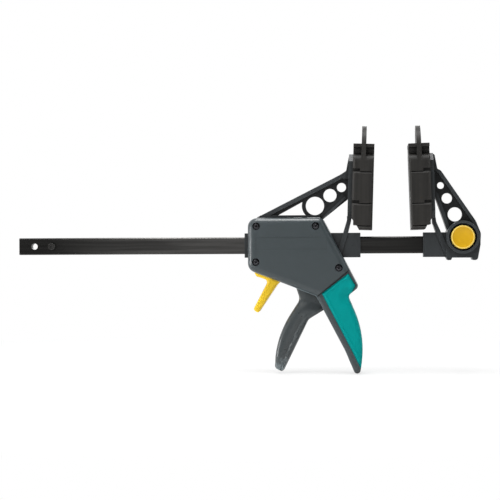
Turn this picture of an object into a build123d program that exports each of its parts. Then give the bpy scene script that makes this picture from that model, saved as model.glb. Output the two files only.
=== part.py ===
from build123d import *

import math
import os

# One-handed bar clamp, in millimetres. X runs along the bar towards the fixed jaw, Z runs up
# along the jaws, and the push button and screw heads face -Y. The origin is the centre of the
# fixed jaw's clamping face. Each jaw is drawn in a frame of its own, with x from the centre of
# its clamping face and z from the bar's centreline, and is put in its place at the end.

# Bar
bar_length = 321.6
bar_height = 11.8
bar_thickness = 5.0
bar_edge_chamfer = 0.7
bar_hole_inset = 11.0  # hole centre from the bar's end, the same at both ends
bar_hole_radius = 2.2
bar_overhang = 46.9  # fixed clamping face to the bar's near end
stop_pin_inset = 23.4
stop_pin_radius = 2.4
stop_pin_shank = 1.6
stop_pin_proud = 1.4

# Jaws as a pair
face_height = 39.8  # centre of the clamping faces above the bar's centreline
rest_opening = 24.9
moving_toe_in = 1.8  # degrees that the moving pad leans towards the fixed one at the top
fixed_toe_in = 1.9

# Clearances
slide_clearance = 0.15  # jaws on the bar, each side
pin_clearance = 0.05  # pins that something turns or slides on
seat_clearance = 0.02  # pins and screws that sit fast
contact_gap = 0.05  # between parts that push on each other

# Pads
pad_thickness = 14.4
pad_half_width = 16.0
pad_below = 29.5
pad_above = 29.4
pad_edge = 1.2
pad_flange = 2.3
pad_recess_height = 4.2
pad_recess_depth = 5.5
pad_shoulder_height = 6.0
shoulder_bulge = 0.3  # how far its middle stays from both ends, 0.29 for a round one
fin_thickness = 3.1
flange_setback = 0.8  # flange behind the fin's front
fin_height = 13.2  # above the pad's top
groove_height = 2.2
groove_depth = 2.2
groove_length = 5.0
ledge_height = 1.4
ledge_depth = 0.8
ledge_margin = 0.8
foot_ledge = 2.9  # top of the lowest ledge above the pad's foot
ledge_lap = 0.3  # ledge's top above the groove's lower edge
upper_groove = 10.2  # lower edge above the face's centre
lower_groove = -11.6

# Rail that holds each pad on its jaw's back plate
plate_thickness = 2.9
fixed_plate_thickness = 2.4
plate_half_width = 12.0
plate_below = 22.0
plate_corner = 5.0
rail_neck_half_width = 3.0
rail_half_width = 6.0
rail_neck_depth = 2.0
rail_head_depth = 2.0
rail_below = 20.0
rail_above = 16.0
rail_clearance = 0.15

# Jaw sections
sleeve_wall = 2.45
sleeve_side_wall = 2.85
web_half = 1.5
rim_half = 6.0
rib_half = 6.5
moving_rim = 2.8
fixed_rim = 2.4

# Moving jaw
sleeve_front = 9.1  # sleeve's front end behind the clamping face
sleeve_lip = 2.6  # sleeve's back end beyond the housing
rear_sleeve_length = 5.7
sleeve_slot_length = 3.4
sleeve_slot_height = 0.6
sleeve_slot_depth = 0.4
sleeve_slot_1 = -25.2
sleeve_slot_2 = -13.7
beam_gap = 0.7  # sleeve to the beam above it
beam_height = 10.0
chord_height = 1.7  # beam's top above the housing
moving_plate_above = 22.4
arm_foot_x = -81.8
arm_foot_drop = 0.3  # arm's foot below the housing's top
arm_head = (-23.2, 8.7)  # x, and rise above the face's centre
arm_top = (-18.7, 11.5)
strut_low = (-34.7, 18.3)
strut_high = (-18.9, 32.7)
beam_front = -32.2
strut_width = 3.8
strut_half = 3.5
strut_ridge = 1.2
strut_ridge_half = 5.0
moving_window_1 = (-40.6, 27.4, 6.4)  # x, z and radius
moving_window_2 = (-30.1, 34.6, 4.6)
moving_window_3 = (-22.1, 40.1, 3.2)
window_ring = 2.7

# Housing covers and handle
housing_rear = -86.9
housing_front_top = -35.4
housing_rear_low = -16.8
housing_corner = 6.5
housing_front_corner = 4.5
seam_top = (-16.7, -16.6)
handle_root = (-39.3, -35.1)  # where housing's underside and handle's front meet
housing_wall = 2.5
panel_start = -81.5
panel_end = -32.0
panel_low = -3.1
panel_high = 6.0
panel_sunk = 0.3
housing_half_depth = 13.5
housing_round = 4.3
handle_half_depth = 12.2
handle_round = 2.0
grip_thickness = 1.8
seam_groove_width = 1.0
seam_groove_depth = 1.0
channel_half_width = 7.6

# Screws
screw_head_radius = 2.6
screw_head_height = 2.2
screw_head_sunk = 0.6
screw_radius = 1.5
screw_socket = 1.5
screw_socket_depth = 1.2
screw_end = 8.5
boss_radius = 3.6
rear_top_screw = (-80.8, 13.3)
front_top_screw = (-39.8, 13.3)
rear_low_screw = (-81.2, -11.5)
front_low_screw = (-23.9, -15.6)

# Trigger
trigger_pivot_x = -38.0
trigger_pivot_drop = 22.0
trigger_half_width = 7.0
trigger_pin_radius = 2.0
trigger_hub_radius = 5.5
trigger_nose_radius = 3.0
trigger_nose_gap = 0.5  # nose under the bar
trigger_round = 2.0
pin_end_gap = 0.2
pin_boss_wall = 2.0

# Drive plates
drive_plate_thickness = 2.0
drive_plate_count = 2
plate_stack_half_width = 7.5
drive_plate_drop = 7.5  # below the bar
drive_plate_gap = 0.1  # under the beam

# Brake plates
brake_plate_thickness = 1.8
brake_plate_count = 2
brake_pivot_x = -73.9
brake_pivot_rise = 4.2  # above the beam's underside
brake_plate_drop = 7.0  # below the bar
brake_tilt = 5.0  # degrees
brake_slot_play = 0.35
brake_pocket_play = 0.5

# Release lever
lever_half_width = 6.2
lever_slot_half_width = 6.8
lever_pin_radius = 1.5
lever_hub_radius = 3.2
lever_nose_radius = 1.5
lever_nose_drop = 4.0  # nose centre under the bar
lever_arm = 8.0
lever_arm_half = 1.0
lever_round = 1.2

# Springs round the bar
spring_bar_gap = 0.2
brake_wire = 1.2
brake_turns = 3
drive_wire = 1.4
drive_turns = 6
bulkhead_thickness = 1.8
bulkhead_gap = 0.6  # lever nose to bulkhead

# Fixed jaw
fixed_sleeve_start = 9.2
fixed_plate_above = 22.8
fixed_window_1 = (21.4, 40.9, 2.35)
fixed_window_2 = (25.7, 32.0, 3.6)
fixed_window_3 = (31.1, 20.9, 4.9)
lower_body_half = 7.4
fixed_right = 48.4
foot_drop = 1.7

# Button and lock
button_rise = 5.1  # button's centre above the bar's centreline
button_radius = 8.5
button_gap = 1.0
boss_ring_radius = 11.3
boss_half_depth = 14.5
button_sunk = 0.3
button_face_thickness = 2.0
button_skirt_wall = 1.0
button_skirt_depth = 2.6
button_rim = 1.0
button_dish = 0.3
stem_socket = 0.9
button_travel = 4.0
pocket_floor = 4.5
stem_rise = 9.2
stem_radius = 1.8
yoke_recess = 0.3
yoke_thickness = 1.8
yoke_gap = 0.1
yoke_margin = 1.5
cap_gap = 0.2  # pushed yoke to the cap
lock_pin_radius = 2.1
unlock_gap = 0.5  # pushed lock pin's tip to the bar
button_wire = 0.8
button_turns = 3

# Values that follow from the sizes above
bar_half = bar_height / 2
bar_side = bar_thickness / 2
sleeve_half_height = bar_half + slide_clearance + sleeve_wall
sleeve_half_width = bar_side + slide_clearance + sleeve_side_wall
beam_bottom = sleeve_half_height + beam_gap
housing_top = beam_bottom + beam_height
chord_top = housing_top + chord_height
cavity_half_depth = housing_half_depth - housing_wall
trigger_pivot = (trigger_pivot_x, -trigger_pivot_drop)
trigger_nose_z = -bar_half - trigger_nose_gap - trigger_nose_radius
drive_face = trigger_pivot_x - trigger_nose_radius - contact_gap
drive_pitch = drive_plate_thickness + contact_gap
drive_back = drive_face - drive_plate_count * drive_pitch + contact_gap
brake_pivot = (brake_pivot_x, beam_bottom + brake_pivot_rise)
brake_pitch = brake_plate_thickness + contact_gap
brake_half_stack = (brake_plate_count * brake_pitch - contact_gap) / 2
lever_nose_z = -bar_half - lever_nose_drop
tilt = math.radians(brake_tilt)
brake_face_at_nose = (
    brake_pivot_x
    + (brake_pivot[1] - lever_nose_z) * math.tan(tilt)
    + brake_half_stack / math.cos(tilt)
)
lever_pivot = (brake_face_at_nose + contact_gap + lever_nose_radius, lever_nose_z - lever_arm)
bulkhead_x = lever_pivot[0] + lever_nose_radius + bulkhead_gap
sleeve_rear = housing_rear - sleeve_lip
spring_inner = math.hypot(bar_half, bar_side) + spring_bar_gap
lock_x = bar_overhang - bar_hole_inset
button_front = -boss_half_depth + button_sunk
button_under = button_front + button_face_thickness
stem_front = button_under - stem_socket
lock_pin_tip = bar_side + unlock_gap - button_travel


def rounded_face(corners):
    """Closed face in the XZ plane, from corners given as x, z and rounding radius."""
    points = [(x, z) for x, z, radius in corners]
    radii = [radius for x, z, radius in corners]
    return Plane.XZ * make_face(FilletPolyline(*points, radius=radii, close=True))


def slab(face, back, front):
    """Solid over a face in the XZ plane, from y = back forwards to y = front."""
    return extrude(Pos(0, back, 0) * face, amount=back - front, dir=(0, -1, 0))


def mid_slab(face, half):
    """Solid over a face in the XZ plane, reaching half to each side of y = 0."""
    return slab(face, half, -half)


def block(x_low, x_high, half_width, z_low, z_high):
    """Box centred on y = 0."""
    box = Box(x_high - x_low, 2 * half_width, z_high - z_low, align=(Align.MIN, Align.CENTER, Align.MIN))
    return Pos(x_low, 0, z_low) * box


def cross_rod(centre, radius, back, front):
    """Cylinder along Y round an (x, z) centre, from y = back forwards to y = front."""
    rod = Cylinder(radius, back - front, align=(Align.CENTER, Align.CENTER, Align.MIN))
    return Pos(centre[0], back, centre[1]) * Rot(90, 0, 0) * rod


def band(start, end, width):
    """Rectangle in the XZ plane along a line, on the left of its direction."""
    length = math.dist(start, end)
    step = ((end[0] - start[0]) / length, (end[1] - start[1]) / length)
    side = (-step[1] * width, step[0] * width)
    corners = [
        (start[0], start[1], 0),
        (end[0], end[1], 0),
        (end[0] + side[0], end[1] + side[1], 0),
        (start[0] + side[0], start[1] + side[1], 0),
    ]
    return rounded_face(corners)


def biarc(start, start_way, end, end_way):
    """Two arcs that join two points and meet both directions."""
    chord = end - start
    ways = start_way + end_way
    share = 2 * (1 - start_way.dot(end_way))
    reach = (math.sqrt(chord.dot(ways) ** 2 + share * chord.dot(chord)) - chord.dot(ways)) / share
    middle = (start + start_way * reach + end - end_way * reach) * 0.5
    first = Edge.make_tangent_arc(start, start_way, middle)
    second = Edge.make_tangent_arc(middle, first.tangent_at(1), end)
    return [first, second]


def coil(inner_radius, wire, length, turns, name):
    """Compression spring along Z from z = 0 to z = length, as one open tube of round wire."""
    radius = inner_radius + wire / 2
    pitch = (length - wire) / turns
    print(name, "gap between turns", round(pitch - wire, 2))

    def point(half_turns):
        angle = half_turns * math.pi
        height = wire / 2 + pitch * half_turns / 2
        return Vector(radius * math.cos(angle), radius * math.sin(angle), height)

    def way(half_turns):
        angle = half_turns * math.pi
        rise = pitch / (2 * math.pi)
        return Vector(-radius * math.sin(angle), radius * math.cos(angle), rise).normalized()

    edges = []
    for step in range(2 * turns):
        edges += biarc(point(step), way(step), point(step + 1), way(step + 1))
    section = Plane(origin=point(0), z_dir=way(0)) * Circle(wire / 2)
    return sweep(section, path=Wire(edges))


def sleeve_block():
    """Room that the moving jaw's sleeves take in the covers."""
    height = sleeve_half_height
    return block(sleeve_rear, -sleeve_front, sleeve_half_width, -height, height)


def bar_window(x_low, x_high):
    """Passage for the bar."""
    half_height = bar_half + slide_clearance
    return block(x_low, x_high, bar_side + slide_clearance, -half_height, half_height)


def bar():
    """Flat bar with chamfered long edges and a hole near each end, in the fixed jaw's frame."""
    solid = block(bar_overhang - bar_length, bar_overhang, bar_side, -bar_half, bar_half)
    solid = chamfer(solid.edges().filter_by(Axis.X), bar_edge_chamfer)
    for hole_x in (bar_overhang - bar_length + bar_hole_inset, lock_x):
        solid -= cross_rod((hole_x, 0), bar_hole_radius, bar_thickness, -bar_thickness)
    pin_hole = stop_pin_shank + seat_clearance
    return solid - cross_rod(stop_pin_centre(), pin_hole, bar_thickness, -bar_thickness)


def stop_pin_centre():
    """Place of the stop pin near the bar's free end."""
    return (bar_overhang - bar_length + stop_pin_inset, 0)


def bar_stop_pin():
    """Headed pin with a small dimple in each head."""
    end = bar_side + stop_pin_proud
    solid = cross_rod(stop_pin_centre(), stop_pin_shank, end, -end)
    for side in (1, -1):
        head = cross_rod(stop_pin_centre(), stop_pin_radius, stop_pin_proud / 2, -stop_pin_proud / 2)
        solid += Pos(0, side * (end - stop_pin_proud / 2), 0) * head
        dimple = Sphere(stop_pin_shank / 2)
        solid -= Pos(stop_pin_centre()[0], side * end, 0) * dimple
    return solid


def rail(clearance, below):
    """T-shaped rail of the back plate, in the moving pad's upright frame."""
    back = -pad_thickness
    neck_top = back + rail_neck_depth
    head_top = neck_top + rail_head_depth
    top = rail_above + clearance
    neck = block(back, neck_top + clearance, rail_neck_half_width + clearance, -below, top)
    head = block(neck_top - clearance, head_top + clearance, rail_half_width + clearance, -below, top)
    return neck + head


def pad():
    """Jaw pad with its clamping face at x = 0, upright, with z from the face's centre."""
    back = -pad_thickness
    solid = block(back, 0, pad_half_width, -pad_below, pad_above)
    solid = chamfer(solid.edges().filter_by(Axis.Z), pad_edge)
    for side in (1, -1):
        solid -= pad_recess(side)
        for low in (upper_groove, lower_groove):
            solid -= pad_groove(side, low)
            solid -= pad_ledge(side, low + ledge_lap)
        solid -= pad_ledge(side, foot_ledge - pad_below)
    solid -= pad_foot_step()
    solid += fin()
    return solid - rail(rail_clearance, pad_below)


def pad_recess(side):
    """Cut in one flank that leaves a flange at the top and a rounded shoulder under it."""
    outside = side * (pad_half_width + pad_edge)
    flank = side * pad_half_width
    flange = side * (pad_half_width - flange_setback)
    floor = side * (pad_half_width - pad_recess_depth)
    bend = side * (pad_half_width - pad_recess_depth * shoulder_bulge)
    recess_top = pad_above - pad_flange
    recess_low = recess_top - pad_recess_height
    shoulder_low = recess_low - pad_shoulder_height
    walls = Polyline(
        (flank, shoulder_low),
        (outside, shoulder_low),
        (outside, pad_above + pad_edge),
        (flange, pad_above + pad_edge),
        (flange, recess_top),
        (floor, recess_top),
        (floor, recess_low),
    )
    middle = recess_low - pad_shoulder_height * shoulder_bulge
    shoulder = ThreePointArc((floor, recess_low), (bend, middle), (flank, shoulder_low))
    cut = Plane.YZ * make_face(walls + shoulder)
    return extrude(Pos(-pad_thickness, 0, 0) * cut, amount=pad_thickness, dir=(1, 0, 0))


def pad_groove(side, low):
    """Groove across the back part of one flank."""
    start = -pad_thickness
    cut = block(start, start + groove_length, groove_depth, low, low + groove_height)
    return Pos(0, side * pad_half_width, 0) * cut


def pad_ledge(side, top):
    """Shallow cut along one flank, with a level upper side and a sloping lower one."""
    flank = side * pad_half_width
    profile = Polyline(
        (flank + side * pad_edge, top),
        (flank - side * ledge_depth, top),
        (flank, top - ledge_height),
        (flank + side * pad_edge, top - ledge_height),
        (flank + side * pad_edge, top),
    )
    cut = Plane.YZ * make_face(profile)
    start = Pos(-pad_thickness, 0, 0)
    return extrude(start * cut, amount=pad_thickness - ledge_margin, dir=(1, 0, 0))


def pad_foot_step():
    """Stepped corner at the pad's lower back edge."""
    back = -pad_thickness
    far = back - pad_edge
    low = -pad_below - pad_edge
    corners = [
        (far, low, 0),
        (back + 5.6, low, 0),
        (back + 5.2, -pad_below, 0),
        (back + 3.3, -pad_below + 3.2, 0),
        (back + 1.2, -pad_below + 3.2, 0),
        (back + 1.2, -pad_below + 6.0, 0),
        (back - 0.2, -pad_below + 8.0, 0),
        (far, -pad_below + 8.0, 0),
    ]
    return mid_slab(rounded_face(corners), pad_half_width + pad_edge)


def fin():
    """Round-topped fin that stands on the pad and runs down over its flange and shoulder."""
    low = pad_above - pad_flange - pad_recess_height - pad_shoulder_height
    arc = ThreePointArc((-pad_half_width, pad_above), (0, pad_above + fin_height), (pad_half_width, pad_above))
    base = Polyline(
        (pad_half_width, pad_above),
        (pad_half_width, low),
        (-pad_half_width, low),
        (-pad_half_width, pad_above),
    )
    face = Plane.YZ * make_face(arc + base)
    start = Pos(-(pad_thickness + fin_thickness) / 2, 0, 0)
    return extrude(start * face, amount=fin_thickness, dir=(1, 0, 0))


def moving_tilt():
    """Place of the moving pad's upright frame in the moving jaw's frame."""
    return Pos(0, 0, face_height) * Rot(0, moving_toe_in, 0)


def fixed_tilt():
    """Place of the pad's upright frame, turned to face -X, in the fixed jaw's frame."""
    return Pos(0, 0, face_height) * Rot(0, -fixed_toe_in, 0) * Rot(0, 0, 180)


def back_plate(above, thickness):
    """Plate behind a pad, with its rail, in the pad's upright frame."""
    back = -pad_thickness - thickness
    solid = block(back, -pad_thickness, plate_half_width, -plate_below, above)
    solid = chamfer(solid.edges().filter_by(Axis.X), plate_corner)
    return solid + rail(0, rail_below)


def moving_arm():
    """Web, rims, strut and round windows of the moving jaw above the housing."""
    foot = (arm_foot_x, housing_top - arm_foot_drop)
    head = (arm_head[0], face_height + arm_head[1])
    top = (arm_top[0], face_height + arm_top[1])
    web_corners = [
        (*foot, 0),
        (*head, 3),
        (*top, 0),
        (-16.6, face_height + 7.0, 0),
        (-16.6, strut_high[1], 0),
        (*strut_low, 0),
        (-37.4, housing_top - 2.3, 0),
        (arm_foot_x, housing_top - 2.3, 0),
    ]
    solid = mid_slab(rounded_face(web_corners), web_half)
    solid += mid_slab(band(head, foot, moving_rim), rim_half)
    top_corners = [
        (-25.9, face_height + 7.4, 0),
        (*head, 3),
        (*top, 2),
        (-18.0, face_height + 15.6, 3),
        (-16.6, face_height + 22.2, 1.2),
        (-15.0, face_height + 22.2, 0),
        (-15.6, face_height + 6.0, 0),
        (-19.8, face_height + 6.0, 0),
    ]
    solid += mid_slab(rounded_face(top_corners), rim_half)
    solid += mid_slab(band(strut_low, strut_high, strut_width), strut_half)
    solid += mid_slab(band(strut_low, strut_high, strut_ridge), strut_ridge_half)
    ring_x, ring_z, ring_radius = moving_window_1
    triangle = [(-66.6, chord_top, 0), (-47.0, chord_top, 0), (-47.0, 31.5, 0)]
    gap = mid_slab(rounded_face(triangle), rim_half)
    gap -= cross_rod((ring_x, ring_z), ring_radius + window_ring, rim_half, -rim_half)
    solid -= gap
    for x, z, radius in (moving_window_1, moving_window_2, moving_window_3):
        solid -= cross_rod((x, z), radius, rim_half + 1, -rim_half - 1)
    return solid


def moving_jaw_frame():
    """Moving jaw with its arm, back plate, rib, beam and the two sleeves on the bar."""
    beam_corners = [
        (housing_rear + housing_wall, beam_bottom, 0),
        (beam_front, beam_bottom, 0),
        (-37.2, strut_low[1], 0),
        (-37.2, chord_top, 0),
        (-78.2, chord_top, 0),
        (arm_foot_x, housing_top - arm_foot_drop, 0),
        (arm_foot_x, housing_top - housing_wall, 0),
        (housing_rear + housing_wall, housing_top - housing_wall, 0),
    ]
    solid = mid_slab(rounded_face(beam_corners), rim_half)
    solid += moving_arm()
    solid += moving_tilt() * back_plate(moving_plate_above, plate_thickness)
    rib_corners = [
        (-18.3, 20.0, 0),
        (-18.3, 17.3, 3),
        (-20.6, 9.6, 0),
        (-25.0, -6.0, 0),
        (-22.1, -6.0, 0),
        (-17.3, 9.6, 0),
        (-15.5, 17.0, 3),
        (-15.5, 20.0, 0),
    ]
    solid += mid_slab(rounded_face(rib_corners), rib_half)
    rear_end = sleeve_rear + rear_sleeve_length
    solid += block(sleeve_rear, rear_end, sleeve_half_width, -sleeve_half_height, sleeve_half_height)
    solid += block(housing_rear + 0.8, rear_end, sleeve_half_width, 0, beam_bottom + 5)
    front_start = drive_face + contact_gap + 0.2
    solid += block(front_start, -sleeve_front, sleeve_half_width, -sleeve_half_height, sleeve_half_height)
    solid += block(front_start, beam_front, sleeve_half_width, 0, beam_bottom + 1)
    bulkhead_end = bulkhead_x + bulkhead_thickness
    bulkhead_low = lever_nose_z + lever_nose_radius + 0.3
    solid += block(bulkhead_x, bulkhead_end, plate_stack_half_width, bulkhead_low, beam_bottom + 1)
    nose_room = trigger_pivot_x + trigger_nose_radius + 0.7
    low = -sleeve_half_height - 1
    solid -= block(front_start - 1, nose_room, plate_stack_half_width, low, -bar_half - slide_clearance)
    solid -= bar_window(sleeve_rear - 1, -sleeve_front + 1)
    solid -= brake_pocket()
    for middle in (sleeve_slot_1, sleeve_slot_2):
        slot = Box(sleeve_slot_length, 2 * sleeve_slot_depth, sleeve_slot_height)
        solid -= Pos(middle, sleeve_half_width, 0) * slot
        solid -= Pos(middle, -sleeve_half_width, 0) * slot
    for centre in (rear_top_screw, front_top_screw):
        solid -= cross_rod(centre, screw_radius + pin_clearance, rim_half + 1, -rim_half - 1)
    return solid


def brake_pocket():
    """Pocket in the beam's underside in which the brake plates' top ends turn."""
    low = brake_pivot_x - brake_half_stack - brake_pocket_play
    high = brake_pivot_x + brake_half_stack + brake_pocket_play
    top = brake_pivot[1] + brake_half_stack + brake_pocket_play
    return block(low, high, rim_half + 1, beam_bottom - 1, top)


def body_outline():
    """Housing above the handle."""
    return rounded_face(
        [
            (housing_rear, housing_top, housing_corner),
            (housing_front_top, housing_top, housing_front_corner),
            (*seam_top, 0),
            (*handle_root, 0),
            (housing_rear, housing_rear_low, housing_corner),
        ]
    )


def seam_middle():
    """Middle of the seam between housing and handle."""
    return ((seam_top[0] + handle_root[0]) / 2, (seam_top[1] + handle_root[1]) / 2)


def handle_outline():
    """Handle with its nose, palm curve and tip."""
    return rounded_face(
        [
            (-22.5, -5.5, 0),
            (-10.3, -29.0, 2.6),
            (-18.0, -35.2, 3.5),
            (-5.7, -64.0, 68),
            (-10.6, -95.0, 2.4),
            (-19.6, -73.0, 70),
            (-42.3, -29.9, 0),
            (-48.0, -27.0, 0),
        ]
    )


def handle_half():
    """Front half of the handle as one solid block."""
    solid = slab(handle_outline(), 0, -handle_half_depth)
    return fillet(solid.faces().sort_by(Axis.Y)[0].edges(), handle_round)


def grip_insert_front():
    """Soft grip in the front of the handle, which wraps round to the parting line at the palm."""
    region = rounded_face(
        [
            (-17.4, -19.3, 0),
            (-12.2, -27.9, 1.5),
            (-14.9, -33.3, 0),
            (0.0, -33.3, 0),
            (0.0, -85.4, 0),
            (-9.1, -85.4, 0),
            (-15.2, -73.0, 0),
            (-35.9, -33.3, 0),
        ]
    )
    solid = handle_half() & slab(region, 0, -handle_half_depth)
    core = offset(handle_outline(), amount=-grip_thickness)
    return solid - slab(core, 0, -handle_half_depth + grip_thickness)


def housing_half():
    """Front half of the housing above the handle as one solid block, rounded except at the seam."""
    solid = slab(body_outline(), 0, -housing_half_depth)
    face = solid.faces().sort_by(Axis.Y)[0]
    seam = Vector(seam_middle()[0], -housing_half_depth, seam_middle()[1])
    rounded = [edge for edge in face.edges() if (edge.center() - seam).length > housing_wall]
    return fillet(rounded, housing_round)


def seam_groove():
    """Shallow cut along the seam between housing and handle."""
    strip = band(seam_top, handle_root, seam_groove_width)
    return slab(strip, -handle_half_depth + seam_groove_depth, -handle_half_depth - seam_groove_depth)


def cover_shell():
    """Hollow shell of one cover, on the -Y side, with its bosses and without holes for screws."""
    solid = housing_half() + handle_half() - grip_insert_front()
    solid -= seam_groove()
    cavity = offset(body_outline(), amount=-housing_wall)
    solid -= slab(cavity, 0, -cavity_half_depth)
    solid -= trigger_room()
    solid -= lever_room()
    solid -= sleeve_block()
    for centre in (rear_low_screw, front_low_screw):
        solid += cross_rod(centre, boss_radius, 0, -cavity_half_depth)
    for centre in (rear_top_screw, front_top_screw):
        solid += cross_rod(centre, boss_radius, -rim_half, -cavity_half_depth)
    for centre, radius, inner in pivot_bosses():
        solid += cross_rod(centre, radius + pin_boss_wall, -inner, -cavity_half_depth)
        solid -= cross_rod(centre, radius + seat_clearance, -inner, -cavity_half_depth)
    return solid


def housing_front_cover(frame):
    """Front cover, with counterbored screw holes and a bare sunk panel."""
    solid = cover_shell()
    head_under = -housing_half_depth + screw_head_sunk + screw_head_height
    for centre in screw_centres():
        solid -= cross_rod(centre, screw_radius + pin_clearance, 0, -housing_half_depth)
        solid -= cross_rod(centre, screw_head_radius + pin_clearance, head_under, -housing_half_depth - 1)
    panel = block(panel_start, panel_end, panel_sunk, panel_low, panel_high)
    return solid - Pos(0, -housing_half_depth, 0) * panel - frame


def housing_back_cover(frame):
    """Back cover, with blind screw holes and a plain outside."""
    solid = cover_shell()
    for centre in screw_centres():
        solid -= cross_rod(centre, screw_radius + seat_clearance, 0, -screw_end)
    return mirror(solid, about=Plane.XZ) - frame


def pivot_bosses():
    """Centre, pin radius and inner face of each pivot's bosses in the covers."""
    return [
        (trigger_pivot, trigger_pin_radius, trigger_half_width + pin_end_gap),
        (lever_pivot, lever_pin_radius, lever_slot_half_width),
    ]


def screw_centres():
    """Places of the four housing screws."""
    return [rear_top_screw, front_top_screw, rear_low_screw, front_low_screw]


def trigger_room():
    """Channel in which the trigger swings, open at the housing's underside and the handle's front."""
    room = rounded_face(
        [
            (-56.2, -16.0, 0),
            (-56.2, -60.0, 0),
            (-28.0, -72.0, 0),
            (-23.5, -63.0, 0),
            (-25.0, -50.0, 0),
            (-21.0, -42.0, 0),
            (-20.5, -33.0, 0),
            (-24.0, -22.0, 0),
            (-27.0, -14.0, 0),
        ]
    )
    return slab(room, 0, -channel_half_width)


def lever_room():
    """Slot in the housing's underside for the release lever."""
    low = lever_pivot[0] - 15.0
    high = lever_pivot[0] + 8.0
    return block(low, high, lever_slot_half_width, lever_pivot[1] - 10, lever_pivot[1] + 2)


def housing_screws():
    """Four screws with a cross socket, as separate solids."""
    head_front = -housing_half_depth + screw_head_sunk
    head_under = head_front + screw_head_height
    screws = []
    for centre in screw_centres():
        solid = cross_rod(centre, screw_head_radius, head_under, head_front)
        solid += cross_rod(centre, screw_radius, screw_end - 0.5, head_under - 0.1)
        arm = Box(2 * screw_socket, 2 * screw_socket_depth, screw_socket / 2)
        socket = arm + Rot(0, 90, 0) * arm
        solid -= Pos(centre[0], head_front, centre[1]) * socket
        screws.append(solid)
    return Compound(screws)


def pivot_pin(centre, radius):
    """Plain pin between the covers' bosses."""
    end = cavity_half_depth - pin_end_gap
    return cross_rod(centre, radius, end, -end)


def side_edges(solid):
    """Edges round the two faces of a slab that look along Y."""
    faces = solid.faces().sort_by(Axis.Y)
    return faces[0].edges() + faces[-1].edges()


def trigger():
    """Curved trigger with its hub and the nose that pushes the drive plates."""
    pivot_x, pivot_z = trigger_pivot
    outline = [
        (-46.0, -24.0, 0),
        (-54.5, -27.4, 2.2),
        (-51.2, -37.6, 6),
        (-67.7, -62.9, 70),
        (-69.1, -85.2, 2.4),
        (-63.4, -88.5, 2.4),
        (-45.4, -51.6, 6),
        (-31.2, -42.8, 4),
        (-33.0, -24.0, 0),
    ]
    solid = mid_slab(rounded_face(outline), trigger_half_width)
    solid = fillet(side_edges(solid), trigger_round)
    solid += cross_rod(trigger_pivot, trigger_hub_radius, trigger_half_width, -trigger_half_width)
    arm_half = trigger_nose_radius
    solid += block(pivot_x - arm_half, pivot_x + arm_half, trigger_half_width, pivot_z, trigger_nose_z)
    nose = (pivot_x, trigger_nose_z)
    solid += cross_rod(nose, trigger_nose_radius, trigger_half_width, -trigger_half_width)
    bore = trigger_pin_radius + pin_clearance
    return solid - cross_rod(trigger_pivot, bore, channel_half_width, -channel_half_width)


def drive_plates():
    """Plates round the bar that grip it and carry it back when the trigger is squeezed."""
    plates = []
    for number in range(drive_plate_count):
        low = drive_back + number * drive_pitch
        top = beam_bottom - drive_plate_gap
        bottom = -bar_half - drive_plate_drop
        plate = block(low, low + drive_plate_thickness, plate_stack_half_width, bottom, top)
        plates.append(plate - bar_window(low - 1, low + drive_plate_thickness + 1))
    return Compound(plates)


def brake_plates():
    """Plates that hang from the beam's pocket and lean on the bar."""
    pivot = Pos(brake_pivot[0], 0, brake_pivot[1])
    centre_drop = brake_pivot[1]
    hole_half = bar_half + brake_slot_play
    plates = []
    for number in range(brake_plate_count):
        low = -brake_half_stack + number * brake_pitch
        high = low + brake_plate_thickness
        bottom = -centre_drop - bar_half - brake_plate_drop
        plate = block(low, high, plate_stack_half_width, bottom, 0)
        plate += block(low, high, rim_half, 0, brake_half_stack / 2)
        passage = block(low - 1, high + 1, bar_side + slide_clearance, -hole_half, hole_half)
        hole = Pos(0, 0, -centre_drop) * passage
        shoulder_low = -brake_pivot_rise - beam_gap
        shoulder = block(low - 1, high + 1, plate_stack_half_width + 1, shoulder_low, brake_half_stack)
        neck = block(low - 1, high + 1, rim_half, -centre_drop, brake_half_stack)
        plate = plate - hole - (shoulder - neck)
        plates.append(pivot * Rot(0, -brake_tilt, 0) * plate)
    return Compound(plates)


def release_lever():
    """Lever with its thumb stem, base, hub and the nose that straightens the brake plates."""
    pivot_x, pivot_z = lever_pivot
    shape = [
        (-14.6, -0.4, 0.8),
        (-13.1, -3.6, 1.4),
        (-4.7, -6.4, 2.4),
        (-15.4, -26.8, 1.6),
        (-11.7, -29.2, 1.6),
        (1.5, -9.5, 4.0),
        (5.0, -6.2, 1.0),
        (2.6, 0.5, 0),
        (-2.6, 0.8, 0),
    ]
    outline = rounded_face([(pivot_x + x, pivot_z + z, radius) for x, z, radius in shape])
    solid = mid_slab(outline, lever_half_width)
    solid = fillet(side_edges(solid), lever_round)
    solid += cross_rod(lever_pivot, lever_hub_radius, lever_half_width, -lever_half_width)
    arm_low = pivot_x - lever_arm_half
    solid += block(arm_low, pivot_x + lever_arm_half, lever_half_width, pivot_z, lever_nose_z)
    nose = (pivot_x, lever_nose_z)
    solid += cross_rod(nose, lever_nose_radius, lever_half_width, -lever_half_width)
    room = lever_slot_half_width
    return solid - cross_rod(lever_pivot, lever_pin_radius + pin_clearance, room, -room)


def drive_spring():
    """Spring from the bulkhead to the drive plates."""
    start = bulkhead_x + bulkhead_thickness + contact_gap
    length = drive_back - contact_gap - start
    spring = coil(spring_inner, drive_wire, length, drive_turns, "drive spring")
    return Pos(start, 0, 0) * Rot(0, 90, 0) * spring


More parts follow.
